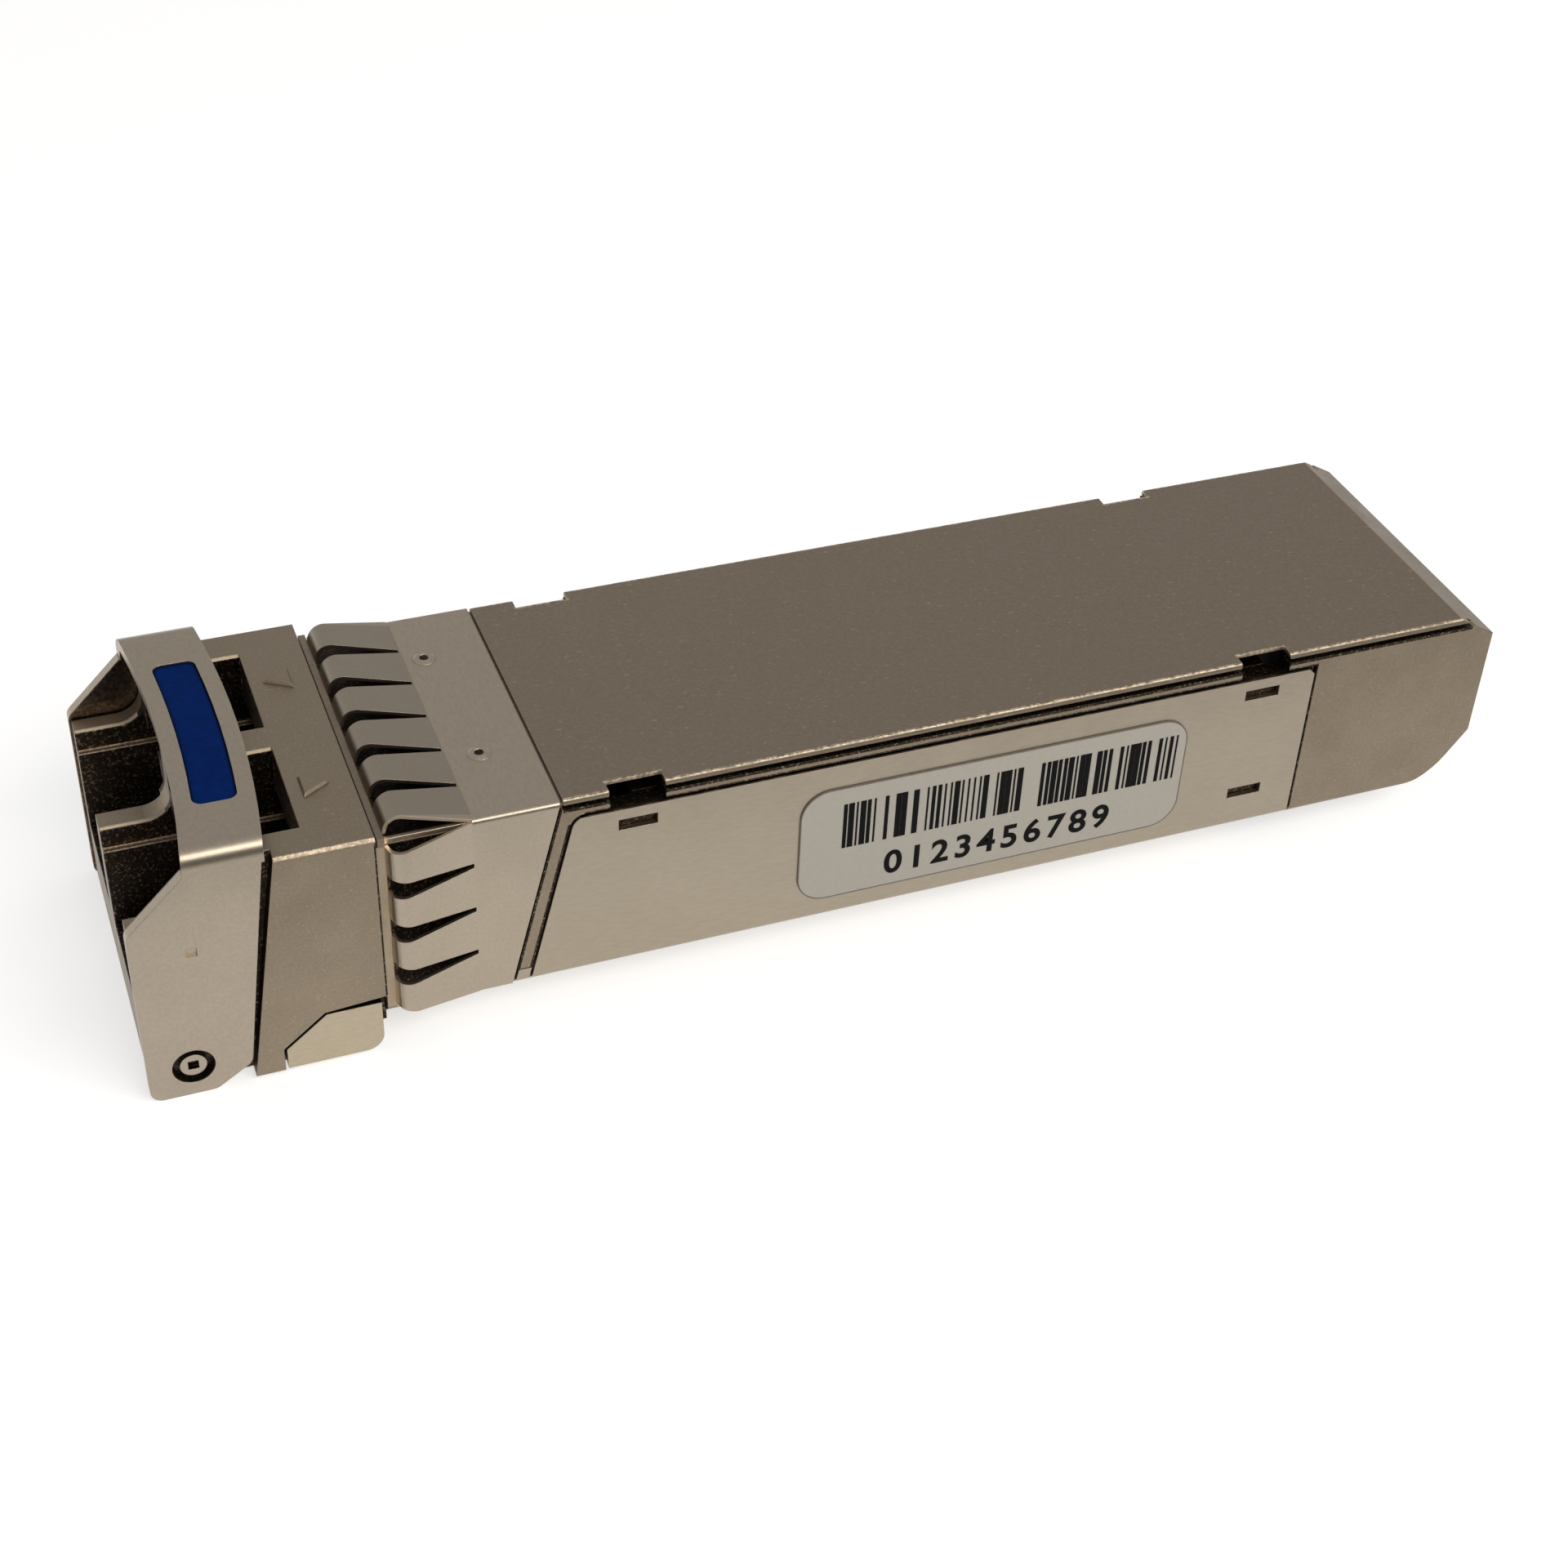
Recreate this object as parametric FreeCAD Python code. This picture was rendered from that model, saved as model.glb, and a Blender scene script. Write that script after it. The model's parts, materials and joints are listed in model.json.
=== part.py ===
import FreeCAD, Part
import math
import os

# Pluggable optical transceiver with a swinging bail and a rocking latch under the nose.
# Millimetres. The origin is on the stop face that meets the cage, in the middle of the width,
# level with the underside of the body. +X runs back to the tail, +Z is up.

# Outer form, which the cage and the neighbouring ports set
body_width = 13.4
body_height = 8.5
body_length = 47.5
nose_length = 9.0
nose_width = 14.2
nose_rise = 0.4            # nose top above the body top
nose_drop = 1.35           # nose underside below the body underside

# Clearances
seat_gap = 0.02            # a sheet in its pocket, a board or a can in its seat
running_gap = 0.03         # a pin in its bore, on the radius
slide_gap = 0.1            # flat faces that pass each other
swing_gap = 0.3            # room round the pieces that rock
flange_gap = 0.11          # line round the latch lever's flanges
foot_gap = 0.05            # the latch lever ends above the nose's underside
can_gap = 0.05             # from the cans to the nearest wall
seam = 0.12                # line that shows between neighbouring shells
fine_seam = 0.06           # line where a sheet ends against the casting

# Cast housing
wall = 0.9
floor_thickness = 1.1
edge_break = 0.12          # small chamfer on the nose's edges
tail_corner_height = 2.55  # where the slope under the tail meets its end
tail_slope = 54.0
tail_round = 3.2
facet_length = 1.6         # sloped end of the top, along the body
facet_drop = 0.9
mouth_length = 10.4        # the underside is open over this length, up to the tail

# Receptacles for two small plugs
port_pitch = 6.25
port_width = 4.75
port_height = 4.9
bulkhead = 1.4             # wall behind the ports
bulkhead_rear = 0.6
axis_height = 4.4
ledge_height = 6.5         # lowered front ends of the port walls
ledge_length = 1.7
cove_radius = 1.0
window_reach = 1.05        # how far the plug windows show behind the bail
rail_step = 0.22           # steps along the port walls that guide the plugs
rail_height = 1.3
catch_reach = 0.9          # shoulders that the plug's latch hooks behind
catch_length = 1.7
catch_height = 1.1
catch_drop = 0.95          # from the nose top down to the catches

# Top cover
cover_inset = 0.1          # from the body's side to the cover's lip
cover_lip = 0.24
cover_groove = 0.14        # shadow groove under the lip, its height
groove_inset = 0.45        # and how far in from the body's side it goes
cover_round = 0.14
rib_width = 0.75
rib_depth = 0.9
post_length = 2.0
post_setback = 4.0         # from a notch to the post beside it
notch_length = 2.2
notch_depth = 0.6
notch_skin = 0.15          # top of the cover that stays over the notches' pockets
notch_setback = 3.0        # from the collar to the middle of the front notches
rear_notch_setback = 2.35  # from the wrap's rear edge to the middle of the rear notches
end_lip = 0.1              # cover's edge across the tail, below the slope's lower end

# Folded side wrap
wrap_sheet = 0.25
wrap_bend = 0.35
rim_strip = 0.47           # casting above the wrap
tail_length = 8.5          # casting that shows behind the wrap
wrap_corner = 0.6
wrap_rear_chamfer = 0.3
strip_width = 0.75         # casting that shows between the collar and the wrap
tab_height = 0.7
tab_root = 1.5
slot_length = 1.55
slot_height = 0.5
slot_drop = 0.77           # from the wrap's top edge to the upper slots
lower_slot = 1.83
bump_margin = 0.18
bump_height = 0.05         # into the slots
bump_root = 0.3

# Spring collar
collar_sheet = 0.15
collar_bend = 0.2
collar_top_length = 7.0
collar_bottom_length = 4.9
finger_root = 3.65
finger_crest = 0.6
finger_tip = 0.4           # fingers end against a strip of casting
finger_stand = 0.35        # where a finger's ramps would meet, beyond the wider of nose and body
finger_round = 0.6
slit_root = 0.2
slit_tip = 0.85
top_fingers = 6
side_fingers = 4

# Bail
bail_sheet = 0.5
bail_lift = 0.45           # gap between the nose top and the bar
bail_bend = 0.65
bail_bow = 0.5             # how far the middle of the bar is set back
bar_setback = 2.65         # from the nose front to the middle of the bar's front edge
bar_width = 2.9
arm_reach = 0.1            # arms ahead of the nose's front
arm_drop = 0.15            # and below its underside
arm_gap = 0.15             # behind the arms' feet
arm_gap_top = 0.42         # behind their upper ends
arm_shoulder = 6.6         # lower end of the arms' front chamfer
heel_setback = 3.75
heel_height = -0.55
toe_setback = 2.35
toe_round = 0.5
insert_width = 1.6
insert_half_length = 4.4
insert_round = 0.35
insert_recess = 0.08
insert_lip = 0.35
insert_lip_thickness = 0.15
mark_size = 0.4
mark_depth = 0.12
mark_height = 5.4
mark_setback = 2.1

# Bail pin, with a cam flat in its middle
pin_setback = 1.6
pin_height = -0.13
pin_radius = 0.8
pin_recess = 0.32          # ends of the pin's full thickness below the arms' faces
pin_tip_radius = 0.5
pin_tip_length = 0.24
punch_size = 0.4           # square punch marks in the tips
punch_depth = 0.2

# Latch lever
latch_shoulder = 2.5       # working face of the boss, behind the stop
boss_height = 0.45
boss_length = 2.6
boss_width = 2.8
boss_tip = 0.8
release_lift = 0.5
cam_gap = 0.25             # between the cam flat and the lever at rest
pivot_setback = 0.95       # from the front of the flanges to the pivot
pivot_height = 0.2
pivot_radius = 0.5
lever_sheet = 0.4
tang_half_width = 1.5
tongue_half_width = 1.7
tongue_height = 0.1        # underside of the tongue above the body underside
tongue_margin = 0.12       # tongue behind the boss
bay_roof = 0.35            # casting between the latch bay and the optics
bay_wall = 0.7
flange_sheet = 0.5
flange_front = -3.95
flange_rear = -0.25
flange_top = 0.98
flange_shoulder = -0.36
flange_chamfer = 1.6
flange_round = 0.7
ear_thickness = 0.4
ear_offset = 2.5
ear_reach = 0.7            # from the pivot to the ears' edges
spring_sheet = 0.12
spring_half_width = 1.0
spring_foot = 0.95         # flat end of the spring, on the ceiling of its bay

# Circuit board
board_thickness = 1.0
board_height = 2.25        # underside above the body underside
board_front = 10.0
board_recess = 3.2         # from the tail in to the board's edge
edge_length = 6.3
edge_width = 9.2
ledge_width = 0.8
contact_pitch = 0.8
contact_width = 0.54
contact_length = 2.6
contact_thickness = 0.04
contact_inset = 0.3
contacts_per_side = 10

# Optical subassemblies
ferrule_bore = 0.6275      # radius of the bores that take the plugs' ferrules
sleeve_radius = 0.81
barrel_radius = 1.45
barrel_reach = 4.2         # ahead of the stop
sleeve_length = 3.1
stub_lead = 0.8            # stub inside the sleeve
stub_length = 2.8
flange_thickness = 0.75
flange_step = 0.25         # flange wider than the can, on the radius
transmitter_can_length = 5.4
receiver_can_length = 4.8
lens_radius = 1.0
lens_lead = 0.3            # gap between the ferrule and the lens
lead_width = 0.4
lead_offset = 0.9
clamp_thickness = 0.7
clamp_groove = 0.4
flex_sheet = 0.12
flex_width = 3.6
flex_bend = 0.6
flex_rise = 2.0            # above the optical axis
flex_overlap = 2.5
flex_stand = 0.5           # from the can to the flexible strip

# Parts on the board
driver_size = 4.0
driver_x = 18.5
amplifier_size = 3.0
controller_size = 5.0
controller_setback = 11.0  # from the driver
chip_height = 0.85
chip_offset = 2.6
pad_thickness = 0.7
capacitor_length = 1.0
capacitor_width = 0.5
capacitor_pitch = 1.5
capacitor_count = 5
capacitor_setback = 4.5    # from the driver

# Label
label_length = 16.8
label_height = 5.4
label_low = 1.05
label_setback = 3.25       # from the rear notches
label_round = 1.2
label_thickness = 0.06

# Values that follow from those above
Vector = FreeCAD.Vector
half_body = body_width / 2
half_nose = nose_width / 2
inner = half_body - wall
nose_front = -nose_length
nose_top = body_height + nose_rise
nose_bottom = -nose_drop
foot = nose_bottom + foot_gap
below = nose_bottom - wall          # clear of the part, for cuts
above = nose_top + wall
rim_height = body_height - cover_lip - cover_groove
wrap_top = rim_height - rim_strip
wrap_rear = body_length - tail_length
mouth_start = body_length - mouth_length
facet_start = body_length - facet_length
front_notch = collar_top_length + notch_setback
rear_notch = wrap_rear - rear_notch_setback
bulkhead_front = bulkhead_rear - bulkhead
port_floor = axis_height - port_height / 2
port_top = axis_height + port_height / 2
cove_end = nose_front + ledge_length + cove_radius
finger_bow = max(half_nose, half_body) - half_body + finger_stand
bail_under = nose_top + bail_lift
bail_top = bail_under + bail_sheet
bar_front = nose_front + bar_setback
bar_rear = bar_front + bar_width
window_rear = bar_rear + window_reach
pin_x = nose_front + pin_setback
pivot_x = flange_front + pivot_setback
lift = math.asin(release_lift / (latch_shoulder - pivot_x))
cam_rise = (pivot_x - pin_x) * math.sin(lift)
cam_flat = pin_radius - cam_rise
lever_top = pin_height - cam_flat - cam_gap
lever_bottom = lever_top - lever_sheet
flange_lift = (flange_rear - pivot_x) * math.sin(lift)
tongue_top = tongue_height + lever_sheet
boss_rear = latch_shoulder + boss_length
tongue_rear = boss_rear + tongue_margin
tongue_lift = (tongue_rear - pivot_x) * math.sin(lift)
bay_half_width = tongue_half_width + swing_gap
bay_rear = tongue_rear + swing_gap
bay_ceiling = tongue_top + tongue_lift + spring_sheet + running_gap
ear_outer = ear_offset + ear_thickness
raised_floor = bay_ceiling + bay_roof
board_top = board_height + board_thickness
board_rear = body_length - board_recess
edge_start = board_rear - edge_length
rib_outer = inner - seat_gap
rib_inner = rib_outer - rib_width
flange_stop = bulkhead_rear + flange_thickness
axis_room = min(port_pitch / 2, inner - port_pitch / 2, axis_height - raised_floor, rim_height - axis_height)
flange_radius = axis_room - can_gap
can_radius = flange_radius - flange_step
barrel_front = -barrel_reach
sleeve_rear = barrel_front + sleeve_length
stub_front = sleeve_rear - stub_lead
stub_rear = stub_front + stub_length
controller_x = driver_x + controller_setback
capacitor_x = driver_x + capacitor_setback
label_rear = rear_notch - label_setback
label_front = label_rear - label_length
label_high = label_low + label_height


def rounded_corner(before, here, after, radius):
    """Start, middle and end of the arc that rounds a corner."""
    back = (before - here).normalize()
    ahead = (after - here).normalize()
    half_angle = back.getAngle(ahead) / 2
    middle = (back + ahead).normalize()
    run = radius / math.tan(half_angle)
    depth = radius / math.sin(half_angle) - radius
    return here + back * run, here + middle * depth, here + ahead * run


def inset_corner(before, here, after, depth):
    """The same corner on an outline that is set in by a depth."""
    back = (before - here).normalize()
    ahead = (after - here).normalize()
    middle = (back + ahead).normalize()
    return here + middle * (depth / math.sin(back.getAngle(ahead) / 2))


def in_view(view, a, b, depth):
    """Point of a view: side shows x and z, plan shows x and y, end shows y and z."""
    if view == "side":
        return Vector(a, depth, b)
    if view == "plan":
        return Vector(a, b, depth)
    return Vector(depth, a, b)


def prism(view, corners, low, high):
    """Solid with an outline drawn in one view. A corner is (a, b), or (a, b, radius) where it is rounded."""
    points = [in_view(view, corner[0], corner[1], low) for corner in corners]
    count = len(points)
    stretches = []
    for i, corner in enumerate(corners):
        if len(corner) == 2:
            stretches.append((points[i],))
        else:
            stretches.append(rounded_corner(points[i - 1], points[i], points[(i + 1) % count], corner[2]))
    edges = []
    for i, stretch in enumerate(stretches):
        if len(stretch) > 1:
            edges.append(Part.Arc(*stretch).toShape())
        edges.append(Part.makeLine(stretch[-1], stretches[(i + 1) % count][0]))
    return Part.Face(Part.Wire(edges)).extrude(in_view(view, 0, 0, high - low))


def box(x0, x1, y0, y1, z0, z1):
    return Part.makeBox(x1 - x0, y1 - y0, z1 - z0, Vector(x0, y0, z0))


def crossbar(x, z, radius, y0, y1):
    """Round bar or bore across the body."""
    return Part.makeCylinder(radius, y1 - y0, Vector(x, y0, z), Vector(0, 1, 0))


def lengthwise(y, z, radius, x0, x1):
    """Round bar or bore along the body."""
    return Part.makeCylinder(radius, x1 - x0, Vector(x0, y, z), Vector(1, 0, 0))


def turned(profile, y, z):
    """Solid turned about a line along the body, from (x, radius) points."""
    points = [Vector(x, 0, radius) for x, radius in profile]
    face = Part.Face(Part.makePolygon(points + points[:1]))
    return face.revolve(Vector(0, 0, 0), Vector(1, 0, 0), 360).translated(Vector(0, y, z))


def both(shape):
    """A shape and its mirror image on the other side of the body."""
    return [shape, shape.mirror(Vector(0, 0, 0), Vector(0, 1, 0))]


def joined(shapes):
    return shapes[0].multiFuse(shapes[1:]).removeSplitter()


def channel(inset, bend, x0, x1):
    """Body section with an inset, rounded along the lower edges and open at the top."""
    half = half_body - inset
    return prism("end", [(-half, inset, bend), (half, inset, bend), (half, above), (-half, above)], x0, x1)


def collar_rear(z):
    """Rear edge of the collar, which leans forward towards the underside."""
    return collar_bottom_length + (collar_top_length - collar_bottom_length) * z / body_height


def wrap_front(z):
    return collar_rear(z) + strip_width


def arm_rear(z):
    """Rear edge of the bail's arms, which leans back towards the top."""
    heel = nose_front + heel_setback
    top = bar_rear - bail_bow
    return heel + (top - heel) * (z - heel_height) / (bail_top - heel_height)


def facet_x(z):
    """Place on the sloped tail end of the top."""
    return facet_start + (body_height - z) * facet_length / facet_drop


def flange_outline(margin, rear_lift):
    """Front and top of the latch lever's flange, grown by a margin and lifted at the rear."""
    front = flange_front - margin
    top = flange_top + margin
    return [(front, flange_shoulder + margin / 2), (flange_front + flange_chamfer - margin / 2, top),
            (flange_rear + margin, top + rear_lift)]


def port(y):
    """Room for one plug: the port with its guide rails, and the window over it."""
    y0 = y - port_width / 2
    y1 = y + port_width / 2
    mouth = nose_front - wall
    shaft = box(mouth, bulkhead_front, y0, y1, port_floor, port_top)
    rails = box(mouth, bulkhead_front, y0 - rail_step, y1 + rail_step, port_top - rail_height, port_top)
    window = box(mouth, window_rear, y0, y1, port_top, above)
    catch_top = nose_top - catch_drop
    catches = [box(cove_end, cove_end + catch_length, a, b, catch_top - catch_height, catch_top)
               for a, b in ((y0, y0 + catch_reach), (y1 - catch_reach, y1))]
    return joined([shaft, rails, window]).cut(catches)


def eased(shape):
    """Small chamfers on the long upper edges of the nose and its port walls."""
    edges = []
    for edge in shape.Edges:
        room = edge.BoundBox
        straight = room.XLength > ledge_length / 2 and room.YLength + room.ZLength < edge_break
        if straight and min(abs(room.ZMax - ledge_height), abs(room.ZMax - nose_top)) < edge_break / 2:
            edges.append(edge)
    return shape.makeChamfer(edge_break, edges)


def nose():
    block = prism("side", [(nose_front, nose_bottom), (0, nose_bottom), (0, nose_top), (cove_end, nose_top),
                           (cove_end, ledge_height, cove_radius), (nose_front, ledge_height)],
                  -half_nose, half_nose)
    block = eased(block.cut([port(port_pitch / 2), port(-port_pitch / 2)]))
    arm_bay = prism("side", [(nose_front - wall, below), (arm_rear(below) + arm_gap, below),
                             (arm_rear(above) + arm_gap_top, above), (nose_front - wall, above)],
                    half_nose - bail_sheet - slide_gap, half_nose + wall)
    rise = flange_outline(flange_gap, flange_lift)
    flange_bay = prism("side", [(rise[0][0], below)] + rise[:2] + [(wall, rise[2][1]), (wall, below)],
                       half_nose - flange_sheet - slide_gap, half_nose + wall)
    lever_bay = box(flange_front - flange_gap, wall, -half_nose - wall, half_nose + wall, below,
                    lever_top + flange_lift + slide_gap)
    tang_bay = box(pin_x - pin_radius - swing_gap, pivot_x, -tang_half_width - swing_gap,
                   tang_half_width + swing_gap, below, pin_height + pin_radius + slide_gap)
    ear_bay = box(pivot_x - ear_reach - swing_gap, pivot_x + ear_reach + swing_gap, -ear_outer - slide_gap,
                  ear_outer + slide_gap, below, pivot_height + ear_reach + slide_gap)
    pin_bore = crossbar(pin_x, pin_height, pin_radius + running_gap, -half_nose, half_nose)
    pivot_bore = crossbar(pivot_x, pivot_height, pivot_radius, -half_nose, half_nose)
    return block.cut(both(arm_bay) + both(flange_bay) + [lever_bay, tang_bay, ear_bay, pin_bore, pivot_bore])


def tray():
    """Body shell with a raised floor over the latch and ledges for the board."""
    knee = body_length - tail_corner_height / math.tan(math.radians(tail_slope))
    shell = prism("side", [(0, 0), (knee, 0, tail_round), (body_length, tail_corner_height),
                           (body_length, body_height - facet_drop), (facet_x(rim_height), rim_height),
                           (0, rim_height)], -half_body, half_body)
    shell = shell.common(channel(0, wrap_bend, 0, body_length))
    cavity = box(bulkhead_rear, body_length, -inner, inner, floor_thickness, rim_height)
    mouth = box(mouth_start, body_length, -inner, inner, below, floor_thickness)
    root = floor_thickness / 2
    half_hump = bay_half_width + bay_wall
    hump = box(0, bay_rear + bay_wall, -half_hump, half_hump, root, raised_floor)
    ledge = box(board_front, mouth_start, inner - ledge_width, inner, root, board_height)
    return joined([shell.cut([cavity, mouth]), hump] + both(ledge))


def slots(margin, y0, y1):
    """Blocks at the places where the wrap snaps over the casting."""
    upper_slot = wrap_top - slot_drop
    half_length = slot_length / 2 - margin
    half_height = slot_height / 2 - margin
    blocks = []
    for x, z in ((front_notch, upper_slot), (rear_notch, upper_slot), (rear_notch, lower_slot)):
        blocks += both(box(x - half_length, x + half_length, y0, y1, z - half_height, z + half_height))
    return blocks


def pocket_band(outline):
    """Band of the body between its sides, for a recess drawn in the side view."""
    return prism("side", outline, -half_body - wall, half_body + wall)


def tab_outline(margin):
    """Side view of the wrap's front tabs, between the collar and the wrap's slanted front edge."""
    return [(collar_rear(0) + seam - margin, -margin), (wrap_front(0) - seam + margin, -margin),
            (wrap_front(tab_height) - seam + margin, tab_height + margin),
            (collar_rear(tab_height) + seam - margin, tab_height + margin)]


def tabs(margin):
    side = prism("side", tab_outline(margin), half_body - wrap_sheet - margin, half_body)
    foot_strip = box(collar_rear(0) + seam - margin, wrap_front(0) + wrap_bend, half_body - tab_root - margin,
                     half_body, 0, wrap_sheet + margin)
    return both(side) + both(foot_strip)


def lower_housing():
    collar_edge = seam / 2
    collar_depth = collar_sheet + seat_gap
    half_core = half_body - collar_depth
    collar_band = pocket_band([(finger_tip, below), (collar_rear(below) + collar_edge, below),
                               (collar_rear(above) + collar_edge, above), (finger_tip, above)])
    cuts = [collar_band.cut(box(0, body_length, -half_core, half_core, collar_depth, above))]
    rear = wrap_rear + fine_seam
    top = wrap_top + seam
    wrap_band = pocket_band([(wrap_front(below) - seam, below), (rear, below), (rear, top),
                             (wrap_front(top) - seam, top, wrap_corner)])
    cuts.append(wrap_band.cut(channel(wrap_sheet + seat_gap, wrap_bend - wrap_sheet, 0, body_length)))
    cuts += tabs(fine_seam)
    for x in (front_notch, rear_notch):
        cuts += both(box(x - notch_length / 2, x + notch_length / 2, rib_inner, half_body + wall,
                         wrap_top - fine_seam, rim_height))
    for side in (-1, 1):
        cuts.append(lengthwise(side * port_pitch / 2, axis_height, barrel_radius + running_gap,
                               bulkhead_front - wall, bulkhead_rear + wall))
    clamp_rear = flange_stop + clamp_thickness + 2 * seat_gap
    cuts += both(box(flange_stop, clamp_rear, rib_inner, inner + clamp_groove, raised_floor, rim_height))
    cuts.append(box(flange_rear - lever_sheet - swing_gap, bay_rear, -bay_half_width, bay_half_width, below,
                    bay_ceiling))
    casting = joined([nose(), tray()]).cut(cuts)
    bumps = slots(bump_margin, half_body - wrap_sheet - bump_root, half_body - wrap_sheet + bump_height)
    return joined([casting] + bumps)


def top_cover():
    half_lip = half_body - cover_inset
    half_groove = half_body - groove_inset
    front = collar_top_length + seam
    plate = prism("side", [(front, rim_height), (facet_x(rim_height), rim_height), (facet_start, body_height),
                           (front, body_height)], -half_lip, half_lip)
    top_edges = [edge for edge in plate.Edges
                 if edge.BoundBox.ZMin > body_height - cover_lip and edge.BoundBox.XLength > facet_length]
    plate = plate.makeFillet(cover_round, top_edges)
    grooves = both(box(front, body_length, half_groove, half_body, rim_height, rim_height + cover_groove))
    half_tongue = half_body - collar_sheet - seat_gap
    tongue = box(seam, front, -half_tongue, half_tongue, rim_height, body_height - collar_sheet - seat_gap)
    front_strip = box(seam, finger_tip, -half_body, half_body, rim_height, body_height)
    slope_end = body_height - facet_drop
    lip = prism("side", [(facet_start, rim_height), (facet_start, slope_end - end_lip),
                         (body_length, slope_end - end_lip), (body_length, slope_end),
                         (facet_x(rim_height), rim_height)], -rib_outer, rib_outer)
    ribs = both(box(board_front, mouth_start, rib_inner, rib_outer, rim_height - rib_depth, rim_height))
    posts = []
    half_post = post_length / 2
    for x in (front_notch + post_setback, rear_notch - post_setback):
        posts += both(box(x - half_post, x + half_post, rib_inner, rib_outer, board_top, rim_height))
    half_driver = driver_size / 2
    platform = box(driver_x - half_driver, driver_x + half_driver, chip_offset - half_driver,
                   chip_offset + half_driver, board_top + chip_height + pad_thickness, rim_height)
    notches = []
    for x in (front_notch, rear_notch):
        x0 = x - notch_length / 2
        x1 = x + notch_length / 2
        notches += both(box(x0, x1, half_lip - notch_depth, half_body, rim_height, body_height))
        notches += both(box(x0, x1, rib_inner, half_body, wrap_top, body_height - notch_skin))
    return joined([plate.cut(grooves), tongue, front_strip, lip, platform] + ribs + posts).cut(notches)


def side_wrap():
    outline = [(wrap_front(0), 0), (wrap_rear, 0), (wrap_rear, wrap_top - wrap_rear_chamfer),
               (wrap_rear - wrap_rear_chamfer, wrap_top), (wrap_front(wrap_top), wrap_top, wrap_corner)]
    fold = channel(0, wrap_bend, 0, body_length)
    hollow = channel(wrap_sheet, wrap_bend - wrap_sheet, 0, body_length)
    mouth = box(mouth_start, body_length, wrap_sheet - half_body, half_body - wrap_sheet, 0, wrap_sheet)
    panels = prism("side", outline, -half_body, half_body).common(fold).cut([hollow, mouth])
    front_tabs = [tab.common(fold) for tab in tabs(0)]
    return joined([panels] + front_tabs).cut(slots(0, half_body - wall, half_body))


def finger(width_root, width_tip):
    """One bowed finger on a flat at height 0, rooted in the collar's band and resting at its tip."""
    root = Vector(finger_root, 0, 0)
    crest = Vector(finger_crest, 0, finger_bow)
    tip = Vector(finger_tip, 0, 0)
    inside = inset_corner(root, crest, tip, collar_sheet)
    rise = math.atan2(finger_bow, finger_crest - finger_tip)
    foot_end = finger_tip + collar_sheet * math.tan(rise / 2)
    strip = prism("side", [(finger_root, 0), (finger_crest, finger_bow, finger_round), (finger_tip, 0),
                           (finger_tip, -collar_sheet), (foot_end, -collar_sheet),
                           (inside.x, inside.z, finger_round - collar_sheet), (finger_root, -collar_sheet)],
                  -width_root / 2, width_root / 2)
    taper = prism("plan", [(finger_tip, -width_tip / 2), (finger_root, -width_root / 2),
                           (finger_root, width_root / 2), (finger_tip, width_tip / 2)],
                  -collar_sheet, finger_bow)
    return strip.common(taper)


def finger_row(count, span):
    """Even row of fingers over a span."""
    pitch = span / count
    blade = finger(pitch - slit_root, pitch - slit_tip)
    return [blade.translated(Vector(0, (i - (count - 1) / 2) * pitch, 0)) for i in range(count)]


def emi_collar():
    ring = prism("end", [(-half_body, 0, collar_bend), (half_body, 0, collar_bend),
                         (half_body, body_height, collar_bend), (-half_body, body_height, collar_bend)],
                 finger_root, collar_top_length)
    half_inside = half_body - collar_sheet
    inside = box(0, body_length, -half_inside, half_inside, collar_sheet, body_height - collar_sheet)
    slant = prism("side", [(0, 0), (collar_rear(0), 0), (collar_rear(body_height), body_height),
                           (0, body_height)], -half_body, half_body)
    latch_gap = box(0, body_length, -bay_half_width, bay_half_width, 0, collar_sheet)
    blades = []
    turn_axis = Vector(1, 0, 0)
    origin = Vector(0, 0, 0)
    for blade in finger_row(top_fingers, body_width):
        blades.append(blade.translated(Vector(0, 0, body_height)))
    for blade in finger_row(side_fingers, body_height):
        upright = blade.rotated(origin, turn_axis, -90).translated(Vector(0, half_body, body_height / 2))
        blades += both(upright)
    under = box(finger_tip, finger_root, bay_half_width, half_body - collar_bend, 0, collar_sheet)
    return joined([ring.common(slant).cut([inside, latch_gap])] + blades + both(under))


def bowed_plate(front, rear, half_width, low, high):
    """Plate across the nose whose front and rear edges curve back in the middle."""
    bow = bail_bow * (half_width / half_nose) ** 2
    near_front = Vector(front - bow, -half_width, low)
    far_front = Vector(front - bow, half_width, low)
    near_rear = Vector(rear - bow, -half_width, low)
    far_rear = Vector(rear - bow, half_width, low)
    edges = [Part.Arc(near_front, Vector(front, 0, low), far_front).toShape(),
             Part.makeLine(far_front, far_rear),
             Part.Arc(far_rear, Vector(rear, 0, low), near_rear).toShape(),
             Part.makeLine(near_rear, near_front)]
    return Part.Face(Part.Wire(edges)).extrude(Vector(0, 0, high - low))


def insert_blank(margin, low, high):
    """Plate of the coloured insert's outline, grown by a margin."""
    middle = (bar_front + bar_rear) / 2
    reach = insert_width / 2 + margin
    return bowed_plate(middle - reach, middle + reach, insert_half_length + margin, low, high)


def insert_plate(margin, low, high):
    """The same plate with round corners."""
    plate = insert_blank(margin, low, high)
    corners = [edge for edge in plate.Edges if edge.BoundBox.XLength + edge.BoundBox.YLength < seat_gap]
    return plate.makeFillet(insert_round + margin, corners)


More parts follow.
